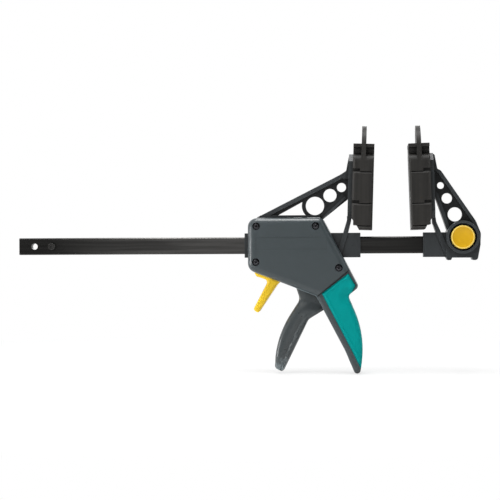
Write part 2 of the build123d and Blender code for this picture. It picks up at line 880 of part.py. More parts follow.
def brake_spring():
    """Spring from the rear sleeve to the upper edge of the leaning brake plates."""
    start = sleeve_rear + rear_sleeve_length + contact_gap
    outer = spring_inner + brake_wire
    plate_middle = brake_pivot_x + (brake_pivot[1] - outer) * math.tan(tilt)
    length = plate_middle - brake_half_stack / math.cos(tilt) - contact_gap - start
    spring = coil(spring_inner, brake_wire, length, brake_turns, "brake spring")
    return Pos(start, 0, 0) * Rot(0, 90, 0) * spring


def fixed_arm():
    """Web and rim of the fixed jaw's arm."""
    arm = rounded_face(
        [
            (14.8, face_height + 22.8, 0),
            (17.1, face_height + 22.8, 1.5),
            (19.1, face_height + 12.4, 1.5),
            (21.4, face_height + 11.4, 3),
            (45.1, 16.3, 12),
            (fixed_right + 0.2, 7.8, 6),
            (fixed_right - 0.2, 0.0, 0),
            (25.5, 0.0, 0),
            (25.8, 8.8, 0),
            (17.2, 34.0, 0),
            (15.4, 31.0, 0),
        ]
    )
    solid = mid_slab(arm, web_half)
    inner = offset(arm, amount=-fixed_rim)
    solid += mid_slab(arm, rim_half) - mid_slab(inner, rim_half)
    for x, z, radius in (fixed_window_1, fixed_window_2, fixed_window_3):
        solid -= cross_rod((x, z), radius, rim_half + 1, -rim_half - 1)
    return solid


def fixed_jaw_frame():
    """Fixed jaw with its arm, back plate, rib, sleeve, lower body and round boss."""
    low = -sleeve_half_height - 0.5
    solid = fixed_arm()
    solid += fixed_tilt() * back_plate(fixed_plate_above, fixed_plate_thickness)
    rib_corners = [
        (15.6, 20.0, 0),
        (15.6, 15.4, 4),
        (17.5, 9.4, 0),
        (24.9, low, 0),
        (25.6, low - foot_drop, 1.2),
        (28.3, low - foot_drop, 1.2),
        (28.8, low, 0),
        (21.0, 9.4, 0),
        (18.2, 15.6, 4),
        (17.5, 20.0, 0),
    ]
    solid += mid_slab(rounded_face(rib_corners), rib_half)
    solid += block(fixed_sleeve_start, 28.0, sleeve_half_width, -sleeve_half_height, sleeve_half_height)
    body_corners = [
        (24.6, low, 0),
        (42.4, low, 0),
        (42.4, low - foot_drop, 1.2),
        (fixed_right - 2.2, low - foot_drop, 2.0),
        (fixed_right - 0.2, 0.0, 0),
        (fixed_right - 0.2, button_rise, 0),
        (24.6, button_rise, 0),
    ]
    solid += mid_slab(rounded_face(body_corners), lower_body_half)
    centre = (lock_x, button_rise)
    solid += cross_rod(centre, boss_ring_radius, boss_half_depth, -boss_half_depth)
    pocket_radius = button_radius + button_gap
    solid -= cross_rod(centre, pocket_radius, -pocket_floor, -boss_half_depth - 1)
    back_floor = lower_body_half - yoke_recess
    solid -= cross_rod(centre, pocket_radius, boss_half_depth + 1, back_floor)
    solid -= bar_window(fixed_sleeve_start - 1, bar_overhang + slide_clearance)
    solid -= cross_rod((lock_x, stem_rise), stem_radius + pin_clearance, back_floor + 1, -pocket_floor - 1)
    return solid - cross_rod((lock_x, 0), lock_pin_radius + pin_clearance, back_floor + 1, 0)


def release_button():
    """Round push button with a raised rim, a skirt and a blind socket for the stem."""
    centre = (lock_x, button_rise)
    stem = (lock_x, stem_rise)
    skirt_end = button_under + button_skirt_depth
    solid = cross_rod(centre, button_radius, skirt_end, button_front)
    solid -= cross_rod(centre, button_radius - button_skirt_wall, skirt_end + 1, button_under)
    solid -= cross_rod(centre, button_radius - button_rim, button_front + button_dish, button_front - 1)
    return solid - cross_rod(stem, stem_radius + seat_clearance, button_under + 1, stem_front)


def lock_stem():
    """Stem from its socket in the button over the bar to the yoke."""
    return cross_rod((lock_x, stem_rise), stem_radius, yoke_back(), stem_front)


def yoke_front():
    """Depth of the yoke's front face."""
    return lower_body_half - yoke_recess + yoke_gap


def yoke_back():
    """Depth of the yoke's back face."""
    return yoke_front() + yoke_thickness


def lock_yoke():
    """Plate with round ends that carries the lock pin on the stem."""
    top = (lock_x, stem_rise)
    bottom = (lock_x, 0)
    end_radius = lock_pin_radius + yoke_margin
    solid = cross_rod(top, end_radius, yoke_back(), yoke_front())
    solid += cross_rod(bottom, end_radius, yoke_back(), yoke_front())
    middle = Box(2 * end_radius, yoke_thickness, stem_rise)
    solid += Pos(lock_x, (yoke_front() + yoke_back()) / 2, stem_rise / 2) * middle
    solid -= cross_rod(top, stem_radius + seat_clearance, yoke_back() + 1, yoke_front() - 1)
    return solid - cross_rod(bottom, lock_pin_radius + seat_clearance, yoke_back() + 1, yoke_front() - 1)


def lock_pin():
    """Pin from the yoke through the jaw's wall into the bar's hole."""
    solid = cross_rod((lock_x, 0), lock_pin_radius, yoke_back(), lock_pin_tip)
    return chamfer(solid.faces().sort_by(Axis.Y)[0].edges(), 0.4)


def button_spring():
    """Spring round the stem, from the pocket's floor to the button."""
    length = -pocket_floor - button_under - 2 * contact_gap
    spring = coil(stem_radius + spring_bar_gap, button_wire, length, button_turns, "button spring")
    return Pos(lock_x, -pocket_floor - contact_gap, stem_rise) * Rot(90, 0, 0) * spring


def boss_back_cap():
    """Disc that closes the boss at the back."""
    centre = (lock_x, button_rise)
    radius = button_radius + button_gap - seat_clearance
    return cross_rod(centre, radius, boss_half_depth, yoke_back() + button_travel + cap_gap)


def main():
    os.makedirs("parts", exist_ok=True)
    fixed_place = Pos(0, 0, -face_height)
    moving_place = Pos(-rest_opening, 0, -face_height)
    frame = moving_jaw_frame()
    grip = grip_insert_front()
    fixed_parts = {
        "bar": bar(),
        "bar_stop_pin": bar_stop_pin(),
        "fixed_jaw_frame": fixed_jaw_frame(),
        "fixed_pad": fixed_tilt() * pad(),
        "release_button": release_button(),
        "lock_stem": lock_stem(),
        "lock_yoke": lock_yoke(),
        "lock_pin": lock_pin(),
        "button_spring": button_spring(),
        "boss_back_cap": boss_back_cap(),
    }
    moving_parts = {
        "moving_jaw_frame": frame,
        "moving_pad": moving_tilt() * pad(),
        "housing_front_cover": housing_front_cover(frame),
        "housing_back_cover": housing_back_cover(frame),
        "grip_insert_front": grip,
        "grip_insert_back": mirror(grip, about=Plane.XZ),
        "housing_screws": housing_screws(),
        "trigger": trigger(),
        "trigger_pivot_pin": pivot_pin(trigger_pivot, trigger_pin_radius),
        "drive_plates": drive_plates(),
        "drive_spring": drive_spring(),
        "brake_plates": brake_plates(),
        "brake_spring": brake_spring(),
        "release_lever": release_lever(),
        "release_pivot_pin": pivot_pin(lever_pivot, lever_pin_radius),
    }
    for name, solid in fixed_parts.items():
        export_step(fixed_place * solid, f"parts/{name}.step")
    for name, solid in moving_parts.items():
        export_step(moving_place * solid, f"parts/{name}.step")


main()
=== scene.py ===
import math

import bmesh
import bpy
import numpy as np
from mathutils import Matrix, Vector
from mathutils.geometry import delaunay_2d_cdt


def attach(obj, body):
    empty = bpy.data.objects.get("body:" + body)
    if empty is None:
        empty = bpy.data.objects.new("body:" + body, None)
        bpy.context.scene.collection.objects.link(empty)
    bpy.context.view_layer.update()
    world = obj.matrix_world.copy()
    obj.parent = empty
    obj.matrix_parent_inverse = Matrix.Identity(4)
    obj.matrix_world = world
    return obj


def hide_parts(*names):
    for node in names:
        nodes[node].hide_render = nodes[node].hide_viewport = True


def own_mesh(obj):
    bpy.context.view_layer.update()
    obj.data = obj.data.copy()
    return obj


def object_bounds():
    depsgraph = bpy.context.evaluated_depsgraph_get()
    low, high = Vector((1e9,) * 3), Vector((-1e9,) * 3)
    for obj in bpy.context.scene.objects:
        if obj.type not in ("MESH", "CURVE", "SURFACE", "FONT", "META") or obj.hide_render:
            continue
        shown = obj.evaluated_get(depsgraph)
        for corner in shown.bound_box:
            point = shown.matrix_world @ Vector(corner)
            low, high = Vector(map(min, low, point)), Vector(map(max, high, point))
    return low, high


MM = 0.001

# Camera, worked out from where the object lies in the photograph
IMAGE_SIZE = 500
SENSOR_WIDTH = 36.0
FOCAL_PIXELS = 1433.5
CAMERA_PLACE = (-0.0281, -1.0, -0.0429)
CAMERA_AIM = (-0.1111, 0.0, -0.0429)  # on the bar's middle plane
CAMERA_ROLL = math.radians(-0.264)

# Places of the jaws' own frames, in millimetres, as in the part's source
FACE_HEIGHT = 39.8
REST_OPENING = 24.9

# Sizes in millimetres, most of them as in the part's source
HANDLE_HALF_DEPTH = 12.2
GRIP_THICKNESS = 1.8
HANDLE_EDGE_DROP = 1.6
LIP_RADIUS = 0.55
HOUSING_HALF_DEPTH = 13.5
SCREW_HEAD_RADIUS = 2.6
SCREW_HEAD_SUNK = 0.6
SCREW_HEAD_HEIGHT = 2.2
SCREW_END = 8.0
SCREW_TIP = 0.6
SCREW_RADIUS = 1.5
SCREWS = ((-80.8, 13.3), (-39.8, 13.3), (-81.2, -11.5), (-23.9, -15.6))
SCREW_TURNS = (0.3, 1.1, 0.7, 0.1)  # how far each star is turned, in radians
STAR_POINTS = 6
STAR_RADIUS = 1.02
STAR_WAVE = 0.20
TRIGGER_PIVOT = (-38.0, -22.0)
TRIGGER_HALF_WIDTH = 7.0
TRIGGER_HUB_RADIUS = 5.5
TRIGGER_NOSE_RADIUS = 3.0
TRIGGER_NOSE_Z = -9.4
TRIGGER_BORE_RADIUS = 2.05
LEVER_PIVOT = (-68.48, -17.9)
LEVER_HALF_WIDTH = 6.2
LEVER_HUB_RADIUS = 3.2
LEVER_NOSE_RADIUS = 1.5
LEVER_BORE_RADIUS = 1.55
LEVER_ARM = 8.0
LEVER_ARM_HALF = 1.0
THINNEST_HALF = 1.0  # least half width of trigger and lever
BUTTON_CENTRE = (35.9, 5.1)
BUTTON_FRONT = -14.2
BUTTON_RADIUS = 8.2
BUTTON_DISH = 0.3
BUTTON_DEPTH = 4.6
BUTTON_THICKNESS = 2.0
BUTTON_HOLLOW = 7.5
STEM_RISE = 9.2
STEM_RADIUS = 1.8
STEM_SOCKET = 0.9
SEAT_CLEARANCE = 0.05
BUTTON_COIL = (2.0, 0.8, 7.6, 3)  # inner radius, wire, length and turns
DRIVE_COIL = (6.608, 1.4, 19.38, 6)
BRAKE_COIL = (6.608, 1.2, 8.457, 3)
BUTTON_COIL_START = -4.55
DRIVE_COIL_START = -64.53
BRAKE_COIL_START = -83.75
DRIVE_COIL_KEEP = 0.635
BRAKE_COIL_KEEP = 0.937

# Meshing, in millimetres or as shares
SHORTEST_STEP = 0.02
RING_KEEP = 0.93  # share of its depth that a ring's point keeps from the outline
EDGE_KEEP = 0.9  # share of the first ring's depth that inner points keep from each outline
ROW_SHARE = 0.87  # distance of rows of even points, as a share of their gap
CORE_SHARE = 0.6  # distance of even points from the last ring, as a share of their gap
FLAT_MERGE = 1e-4
MERGE = 0.004
SLIVER = 0.002

# Colours, linear
HOUSING_GREY = (0.046, 0.058, 0.063)
JAW_GREY = (0.036, 0.041, 0.044)
TRIGGER_GREY = (0.045, 0.054, 0.057)
PAD_BROWN = (0.0180, 0.0170, 0.0156)
TEAL = (0.0004, 0.285, 0.275)
YELLOW = (0.720, 0.410, 0.010)
# Painted highlight on the button's rim
RIM_HIGHLIGHT_YELLOW = (1.0, 0.720, 0.150)
LEVER_YELLOW = (0.820, 0.545, 0.022)
BAR_STEEL = (0.023, 0.0225, 0.0218)
SCREW_BLACK = (0.040, 0.040, 0.044)
BARE_STEEL = (0.46, 0.45, 0.44)
WEB_SHADE_TONE = 0.30  # painted shade: how much darker the recessed webs are painted than the rims
EDGE_COSINES = (0.995, 0.88)  # between own and rounded normal, where the painted highlight along an edge starts and is full
TIP_HIGHLIGHT_TONE = 5.5  # painted highlight: how much paler the trigger's lower end is painted
TIP_HEIGHTS = (-0.1165, -0.1275)  # metres, where the painted highlight on the trigger's end starts and is full
BAR_SHEEN = (-0.255, -0.165, -0.125, 0.03)  # metres along X: the painted sheen on the bar rises, is full and fades
BAR_SHEEN_TONE = 4.8

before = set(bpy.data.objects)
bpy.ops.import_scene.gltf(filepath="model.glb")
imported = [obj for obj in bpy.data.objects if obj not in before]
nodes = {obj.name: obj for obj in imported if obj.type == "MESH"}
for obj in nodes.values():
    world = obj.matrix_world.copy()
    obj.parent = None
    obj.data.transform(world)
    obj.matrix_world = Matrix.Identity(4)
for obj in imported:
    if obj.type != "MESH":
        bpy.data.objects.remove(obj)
cad_low, cad_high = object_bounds()


def moving(x, y, z):
    """Point of the moving jaw's frame, in metres."""
    return ((x - REST_OPENING) * MM, y * MM, (z - FACE_HEIGHT) * MM)


def fixed(x, y, z):
    """Point of the fixed jaw's frame, in metres."""
    return (x * MM, y * MM, (z - FACE_HEIGHT) * MM)


# Outlines and reliefs

def outline(corners, step=0.35, longest=1.6):
    """Closed outline through rounded corners, each given as x, z and rounding radius."""
    turned = []
    count = len(corners)
    for index, (x, z, radius) in enumerate(corners):
        here = np.array((x, z))
        if radius == 0:
            turned.append(here)
            continue
        before = np.array(corners[index - 1][:2]) - here
        after = np.array(corners[(index + 1) % count][:2]) - here
        before /= np.linalg.norm(before)
        after /= np.linalg.norm(after)
        half = math.acos(np.clip(before @ after, -1, 1)) / 2
        way = (before + after) / np.linalg.norm(before + after)
        centre = here + way * radius / math.sin(half)
        first = here + before * radius / math.tan(half) - centre
        last = here + after * radius / math.tan(half) - centre
        turn = math.atan2(first[0] * last[1] - first[1] * last[0], first @ last)
        steps = max(2, math.ceil(abs(turn) * radius / step))
        for number in range(steps + 1):
            angle = turn * number / steps
            spin = np.array(((math.cos(angle), -math.sin(angle)), (math.sin(angle), math.cos(angle))))
            turned.append(centre + spin @ first)
    points = []
    for start, end in zip(turned, turned[1:] + turned[:1]):
        pieces = max(1, math.ceil(np.linalg.norm(end - start) / longest))
        for number in range(pieces):
            points.append(start + (end - start) * number / pieces)
    points = np.array(points)
    keep = np.linalg.norm(points - np.roll(points, 1, axis=0), axis=1) > SHORTEST_STEP
    points = points[keep]
    x, z = points[:, 0], points[:, 1]
    area = np.sum(x * np.roll(z, -1) - np.roll(x, -1) * z)
    return points if area > 0 else points[::-1]


def distance(points, line, closed=True):
    """Distance of each point from a line through the given points."""
    starts = line if closed else line[:-1]
    ends = np.roll(line, -1, axis=0) if closed else line[1:]
    nearest = np.full(len(points), np.inf)
    for start, end in zip(starts, ends):
        way = end - start
        share = np.clip(((points - start) @ way) / (way @ way), 0, 1)
        gap = np.linalg.norm(points - start - share[:, None] * way, axis=1)
        nearest = np.minimum(nearest, gap)
    return nearest


def inside(points, loop):
    """Whether each point lies inside a closed outline."""
    x, z = points[:, 0], points[:, 1]
    result = np.zeros(len(points), bool)
    for (ax, az), (bx, bz) in zip(loop, np.roll(loop, -1, axis=0)):
        crosses = (az > z) != (bz > z)
        with np.errstate(divide="ignore", invalid="ignore"):
            at = ax + (z - az) / (bz - az) * (bx - ax)
        result ^= crosses & (x < at)
    return result


def rings_of(loop, depths):
    """Points inside a closed outline, at each of the given distances from it."""
    way = np.roll(loop, -1, axis=0) - np.roll(loop, 1, axis=0)
    way /= np.linalg.norm(way, axis=1)[:, None]
    inward = np.stack((-way[:, 1], way[:, 0]), axis=1)
    found = []
    for depth in depths:
        ring = loop + inward * depth
        right = inside(ring, loop) & (distance(ring, loop) > depth * RING_KEEP)
        found.append(ring[right])
    return np.concatenate(found)


def spread(loop, depth, gap):
    """Even points inside a closed outline, beyond a depth from it."""
    low, high = loop.min(axis=0), loop.max(axis=0)
    rows = []
    for number, z in enumerate(np.arange(low[1], high[1], gap * ROW_SHARE)):
        x = np.arange(low[0] + (number % 2) * gap / 2, high[0], gap)
        rows.append(np.stack((x, np.full(len(x), z)), axis=1))
    points = np.concatenate(rows)
    points = points[inside(points, loop)]
    return points[distance(points, loop) > depth]


def relief(loops, front, back, depths, gap=1.0):
    """Mesh over the area that all outlines share, with front and back depth given at each point."""
    loops = [np.array(loop) for loop in loops]
    inner = [rings_of(loop, depths) for loop in loops]
    inner.append(spread(loops[-1], depths[-1] + gap * CORE_SHARE, gap))
    inner = np.concatenate(inner)
    for loop in loops:
        inner = inner[inside(inner, loop) & (distance(inner, loop) > depths[0] * EDGE_KEEP)]
    points = np.concatenate(loops + [inner])
    faces = []
    first = 0
    for loop in loops:
        faces.append(list(range(first, first + len(loop))))
        first += len(loop)
    made = delaunay_2d_cdt([Vector(point) for point in points], [], faces, 0, FLAT_MERGE)
    flat, _, triangles, _, _, owners = made
    flat = np.array([tuple(point) for point in flat])
    wanted = [tuple(face) for face, owner in zip(triangles, owners) if len(set(owner)) == len(loops)]
    used = sorted({number for face in wanted for number in face})
    new_number = {old: new for new, old in enumerate(used)}
    wanted = [tuple(new_number[number] for number in face) for face in wanted]
    flat = flat[used]
    size = len(flat)
    vertices = [(x, -y, z) for (x, z), y in zip(flat, front(flat))]
    vertices += [(x, -y, z) for (x, z), y in zip(flat, back(flat))]
    sides = {}
    for face in wanted:
        for start, end in zip(face, face[1:] + face[:1]):
            sides[(start, end)] = sides.get((start, end), 0) + 1
    walls = [(start, end) for start, end in sides if (end, start) not in sides]
    polygons = list(wanted)
    polygons += [tuple(number + size for number in reversed(face)) for face in wanted]
    polygons += [(end, start, start + size, end + size) for start, end in walls]
    return vertices, polygons


def rolled(depth, radius):
    """Drop of a round edge at each distance from it."""
    near = np.clip(depth / radius, 0, 1)
    return radius * (1 - np.sqrt(np.clip(1 - (1 - near) ** 2, 0, 1)))


def smooth(value, low, high):
    """0 to 1 between two values, soft at both ends."""
    share = np.clip((value - low) / (high - low), 0, 1)
    return share * share * (3 - 2 * share)


def build(name, vertices, polygons, made, body, replaced=(), place=moving, flat_angle=35.0):
    """Object from a mesh in millimetres, which rides on a body."""
    mesh = bpy.data.meshes.new(name)
    mesh.from_pydata([place(*vertex) for vertex in vertices], [], polygons)
    work = bmesh.new()
    work.from_mesh(mesh)
    bmesh.ops.remove_doubles(work, verts=work.verts, dist=MERGE * MM)
    bmesh.ops.dissolve_degenerate(work, dist=SLIVER * MM, edges=work.edges)
    bmesh.ops.recalc_face_normals(work, faces=work.faces)
    for face in work.faces:
        face.smooth = True
    limit = math.radians(flat_angle)
    for edge in work.edges:
        edge.smooth = not (edge.is_manifold and edge.calc_face_angle(0.0) > limit)
    work.to_mesh(mesh)
    work.free()
    mesh.materials.append(made)
    piece = bpy.data.objects.new(name, mesh)
    bpy.context.scene.collection.objects.link(piece)
    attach(piece, body)
    if replaced:
        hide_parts(*replaced)
    return piece


def skin(count, around, first=0):
    """Faces over rings of points that follow each other, with both ends closed."""
    last = first + (count - 1) * around
    polygons = [tuple(range(first, first + around)), tuple(reversed(range(last, last + around)))]
    for low in range(first, last, around):
        for side in range(around):
            after = (side + 1) % around
            polygons.append((low + side, low + after, low + around + after, low + around + side))
    return polygons


def rod(centre, radius, near, far, around=48):
    """Closed cylinder along Y, in millimetres."""
    angles = np.linspace(0, 2 * math.pi, around, endpoint=False)
    ring = [(centre[0] + radius * math.cos(a), centre[1] + radius * math.sin(a)) for a in angles]
    vertices = [(x, near, z) for x, z in ring] + [(x, far, z) for x, z in ring]
    polygons = [tuple(reversed(range(around))), tuple(range(around, 2 * around))]
    polygons += [(n, (n + 1) % around, (n + 1) % around + around, n + around) for n in range(around)]
    return vertices, polygons


def beam(x_low, x_high, half, z_low, z_high):
    """Closed box centred on y = 0, in millimetres."""
    vertices = [(x, y, z) for x in (x_low, x_high) for y in (-half, half) for z in (z_low, z_high)]
    polygons = [(0, 1, 3, 2), (4, 6, 7, 5), (0, 4, 5, 1), (2, 3, 7, 6), (0, 2, 6, 4), (1, 5, 7, 3)]
    return vertices, polygons


def loose(name, shape):
    """Object that only serves to cut or join another one, in millimetres."""
    mesh = bpy.data.meshes.new(name)
    mesh.from_pydata([Vector(vertex) * MM for vertex in shape[0]], [], shape[1])
    work = bmesh.new()
    work.from_mesh(mesh)
    bmesh.ops.remove_doubles(work, verts=work.verts, dist=MERGE * MM)
    bmesh.ops.recalc_face_normals(work, faces=work.faces)
    work.to_mesh(mesh)
    work.free()
    made = bpy.data.objects.new(name, mesh)
    bpy.context.scene.collection.objects.link(made)
    return made


def joined(shape, added, cut):
    """Shape with other closed shapes joined to it and then others cut out of it."""
    base = loose("base", shape)
    others = []
    for operation, group in (("UNION", added), ("DIFFERENCE", cut)):
        for other in group:
            tool = loose("tool", other)
            others.append(tool)
            step = base.modifiers.new("step", "BOOLEAN")
            step.operation = operation
            step.solver = "EXACT"
            step.object = tool
    result = base.evaluated_get(bpy.context.evaluated_depsgraph_get()).to_mesh()
    vertices = [tuple(vertex.co / MM) for vertex in result.vertices]
    polygons = [tuple(face.vertices) for face in result.polygons]
    for each in [base] + others:
        mesh = each.data
        bpy.data.objects.remove(each)
        bpy.data.meshes.remove(mesh)
    return vertices, polygons


# Materials

def material(name):
    """New node material with its tree and its shader."""
    made = bpy.data.materials.new(name)
    made.use_nodes = True
    tree = made.node_tree
    shader = tree.nodes["Principled BSDF"]
    return made, tree, shader


def place_in(tree, stretch=(1.0, 1.0, 1.0)):
    """Object coordinates in metres, stretched along each axis."""
    source = tree.nodes.new("ShaderNodeTexCoord")
    mapping = tree.nodes.new("ShaderNodeMapping")
    mapping.inputs["Scale"].default_value = stretch
    tree.links.new(source.outputs["Object"], mapping.inputs["Vector"])
    return mapping.outputs["Vector"]


def noise(tree, coordinates, scale, detail=3.0, roughness=0.5):
    """Noise over the given coordinates, from 0 to 1."""
    made = tree.nodes.new("ShaderNodeTexNoise")
    made.inputs["Scale"].default_value = scale
    made.inputs["Detail"].default_value = detail
    made.inputs["Roughness"].default_value = roughness
    tree.links.new(coordinates, made.inputs["Vector"])
    return made.outputs["Fac"]


def ranged(tree, value, low, high, new_low, new_high):
    """Value moved from one range to another, and kept inside it."""
    made = tree.nodes.new("ShaderNodeMapRange")
    made.inputs["From Min"].default_value = low
    made.inputs["From Max"].default_value = high
    made.inputs["To Min"].default_value = new_low
    made.inputs["To Max"].default_value = new_high
    tree.links.new(value, made.inputs["Value"])
    return made.outputs["Result"]


def blended(tree, factor, first, second):
    """Colour between two, each a socket or an RGB triple."""
    made = tree.nodes.new("ShaderNodeMix")
    made.data_type = "RGBA"
    tree.links.new(factor, made.inputs["Factor"])
    for value, socket in ((first, made.inputs["A"]), (second, made.inputs["B"])):
        if isinstance(value, tuple):
            socket.default_value = (*value, 1.0)
        else:
            tree.links.new(value, socket)
    return made.outputs["Result"]


def math_of(tree, operation, first, second):
    """Result of a sum on two values, each a socket or a number."""
    made = tree.nodes.new("ShaderNodeMath")
    made.operation = operation
    for value, socket in ((first, made.inputs[0]), (second, made.inputs[1])):
        if isinstance(value, (int, float)):
            socket.default_value = value
        else:
            tree.links.new(value, socket)
    return made.outputs["Value"]


def edges_of(tree, radius):
    """1 along outer edges within a radius, and 0 elsewhere."""
    soft = tree.nodes.new("ShaderNodeBevel")
    soft.samples = 6
    soft.inputs["Radius"].default_value = radius
    geometry = tree.nodes.new("ShaderNodeNewGeometry")
    dot = tree.nodes.new("ShaderNodeVectorMath")
    dot.operation = "DOT_PRODUCT"
    tree.links.new(soft.outputs["Normal"], dot.inputs[0])
    tree.links.new(geometry.outputs["Normal"], dot.inputs[1])
    return ranged(tree, dot.outputs["Value"], *EDGE_COSINES, 0.0, 1.0)


def cavity_of(tree, reach):
    """1 in open places and less in corners and recesses within a reach."""
    made = tree.nodes.new("ShaderNodeAmbientOcclusion")
    made.samples = 8
    made.inputs["Distance"].default_value = reach
    return made.outputs["AO"]


def bump(tree, shader, height, strength, depth):
    """Surface relief from a height."""
    made = tree.nodes.new("ShaderNodeBump")
    made.inputs["Strength"].default_value = strength
    made.inputs["Distance"].default_value = depth
    tree.links.new(height, made.inputs["Height"])
    tree.links.new(made.outputs["Normal"], shader.inputs["Normal"])


def toned(colour, factor):
    """Colour made lighter or darker."""
    return tuple(min(1.0, channel * factor) for channel in colour)


def web_of(tree, half_width):
    """1 on faces that look sideways and lie nearer the middle plane than a distance, and 0 elsewhere."""
    middle = tree.nodes.new("ShaderNodeSeparateXYZ")
    tree.links.new(place_in(tree), middle.inputs["Vector"])
    depth = math_of(tree, "ABSOLUTE", middle.outputs["Y"], 0.0)
    geometry = tree.nodes.new("ShaderNodeNewGeometry")
    facing = tree.nodes.new("ShaderNodeSeparateXYZ")
    tree.links.new(geometry.outputs["Normal"], facing.inputs["Vector"])
    sideways = math_of(tree, "ABSOLUTE", facing.outputs["Y"], 0.0)
    near = ranged(tree, depth, half_width, half_width + 0.6 * MM, 1.0, 0.0)
    return math_of(tree, "MULTIPLY", near, ranged(tree, sideways, 0.8, 0.95, 0.0, 1.0))


def tip_of(tree, start, end):
    """0 to 1 downwards between two heights in metres, broken up by upright streaks."""
    split = tree.nodes.new("ShaderNodeSeparateXYZ")
    tree.links.new(place_in(tree), split.inputs["Vector"])
    low = ranged(tree, split.outputs["Z"], start, end, 0.0, 1.0)
    drawn = noise(tree, place_in(tree, (1.0, 1.0, 0.15)), 420.0, 2.0)
    return math_of(tree, "MULTIPLY", low, ranged(tree, drawn, 0.42, 0.56, 0.15, 1.0))


def beyond(tree, centre, inner, outer):
    """0 to 1 between two distances in metres from an axis along Y."""
    split = tree.nodes.new("ShaderNodeSeparateXYZ")
    tree.links.new(place_in(tree), split.inputs["Vector"])
    across = math_of(tree, "SUBTRACT", split.outputs["X"], centre[0])
    up = math_of(tree, "SUBTRACT", split.outputs["Z"], centre[2])
    across_squared = math_of(tree, "MULTIPLY", across, across)
    up_squared = math_of(tree, "MULTIPLY", up, up)
    squares = math_of(tree, "ADD", across_squared, up_squared)
    return ranged(tree, math_of(tree, "SQRT", squares, 0.0), inner, outer, 0.0, 1.0)


def moulded(
    name, colour, gloss, grain, relief_strength, edge_highlight=1.5, stretch=(1.0, 1.0, 1.0), shade=0.45, reach=5.0,
    shine=0.3, web=None, tip=None, streak_tone=1.03, rim=None,
):
    """Moulded plastic or rubber: mottled colour, fine grain, uneven gloss, a painted highlight along edges
    and painted shade in recesses.
    """
    made, tree, shader = material(name)
    shader.inputs["Specular IOR Level"].default_value = shine
    flat = place_in(tree)
    drawn = place_in(tree, stretch)
    mottle = ranged(tree, noise(tree, flat, 70.0, 4.0), 0.3, 0.7, 0.0, 1.0)
    streaks = ranged(tree, noise(tree, drawn, 420.0, 3.0), 0.35, 0.65, 0.0, 1.0)
    body = blended(tree, mottle, toned(colour, 0.95), toned(colour, 1.05))
    body = blended(tree, streaks, body, toned(colour, streak_tone))
    # Painted highlight: edges are painted paler, as where light catches them
    edge_lit = blended(tree, edges_of(tree, 0.45 * MM), body, toned(colour, edge_highlight))
    # Painted shade: corners and recesses are painted darker by occlusion
    open_to = ranged(tree, cavity_of(tree, reach * MM), 0.35, 0.95, 1.0, 0.0)
    deep = blended(tree, open_to, edge_lit, toned(colour, shade))
    # Painted shade on the recessed webs
    if web is not None:
        deep = blended(tree, web_of(tree, web), deep, toned(colour, WEB_SHADE_TONE))
    # Painted highlight on the button's rim
    if rim is not None:
        deep = blended(tree, beyond(tree, *rim), deep, RIM_HIGHLIGHT_YELLOW)
    # Painted highlight on the trigger's lower end
    if tip is not None:
        deep = blended(tree, tip_of(tree, *tip), deep, toned(colour, TIP_HIGHLIGHT_TONE))
    tree.links.new(deep, shader.inputs["Base Color"])
    patches = noise(tree, drawn, 260.0, 4.0, 0.6)
    tree.links.new(ranged(tree, patches, 0.3, 0.7, gloss - 0.01, gloss + 0.02), shader.inputs["Roughness"])
    bump(tree, shader, noise(tree, drawn, grain, 3.0, 0.6), relief_strength, 0.05 * MM)
    return made


def band_along_x(tree, start, full, less, end):
    """0 to 1 and back to 0 along X, between places in metres."""
    split = tree.nodes.new("ShaderNodeSeparateXYZ")
    tree.links.new(place_in(tree), split.inputs["Vector"])
    rise = ranged(tree, split.outputs["X"], start, full, 0.0, 1.0)
    fall = ranged(tree, split.outputs["X"], less, end, 1.0, 0.0)
    return math_of(tree, "MULTIPLY", rise, fall)


def steel(name, colour, gloss, stretch, relief_strength, edge_tone=1.9, shade=None, painted_sheen=None):
    """Worked steel with fine lines along one axis and a painted highlight along edges. Recesses may get
    painted shade and a stretch along X a painted sheen.
    """
    made, tree, shader = material(name)
    shader.inputs["Metallic"].default_value = 1.0
    lines = noise(tree, place_in(tree, stretch), 1.0, 5.0, 0.75)
    cloud = noise(tree, place_in(tree), 40.0, 3.0)
    tone = ranged(tree, cloud, 0.3, 0.7, 0.0, 1.0)
    body = blended(tree, tone, toned(colour, 0.85), toned(colour, 1.15))
    streaked = blended(tree, ranged(tree, lines, 0.35, 0.75, 0.0, 0.6), body, toned(colour, 1.6))
    # Painted sheen along a stretch of the bar
    if painted_sheen is not None:
        places, paler = painted_sheen
        drawn = noise(tree, place_in(tree, (14.0, 520.0, 520.0)), 1.0, 3.0)
        patchy = ranged(tree, drawn, 0.36, 0.62, 0.45, 1.15)
        share = math_of(tree, "MULTIPLY", band_along_x(tree, *places), patchy)
        streaked = blended(tree, share, streaked, toned(colour, paler))
    # Painted highlight: edges are painted paler, as where light catches them
    finished = blended(tree, edges_of(tree, 0.4 * MM), streaked, toned(colour, edge_tone))
    # Painted shade: recesses such as the screws' star sockets are painted darker
    if shade is not None:
        hidden = ranged(tree, cavity_of(tree, 1.2 * MM), 0.3, 0.9, 1.0, 0.0)
        finished = blended(tree, hidden, finished, toned(colour, shade))
    tree.links.new(finished, shader.inputs["Base Color"])
    tree.links.new(ranged(tree, lines, 0.25, 0.75, gloss - 0.06, gloss + 0.08), shader.inputs["Roughness"])
    bump(tree, shader, lines, relief_strength, 0.02 * MM)
    return made


def dress(node, made):
    """Gives a CAD node one material."""
    mesh = nodes[node].data
    mesh.materials.clear()
    mesh.materials.append(made)


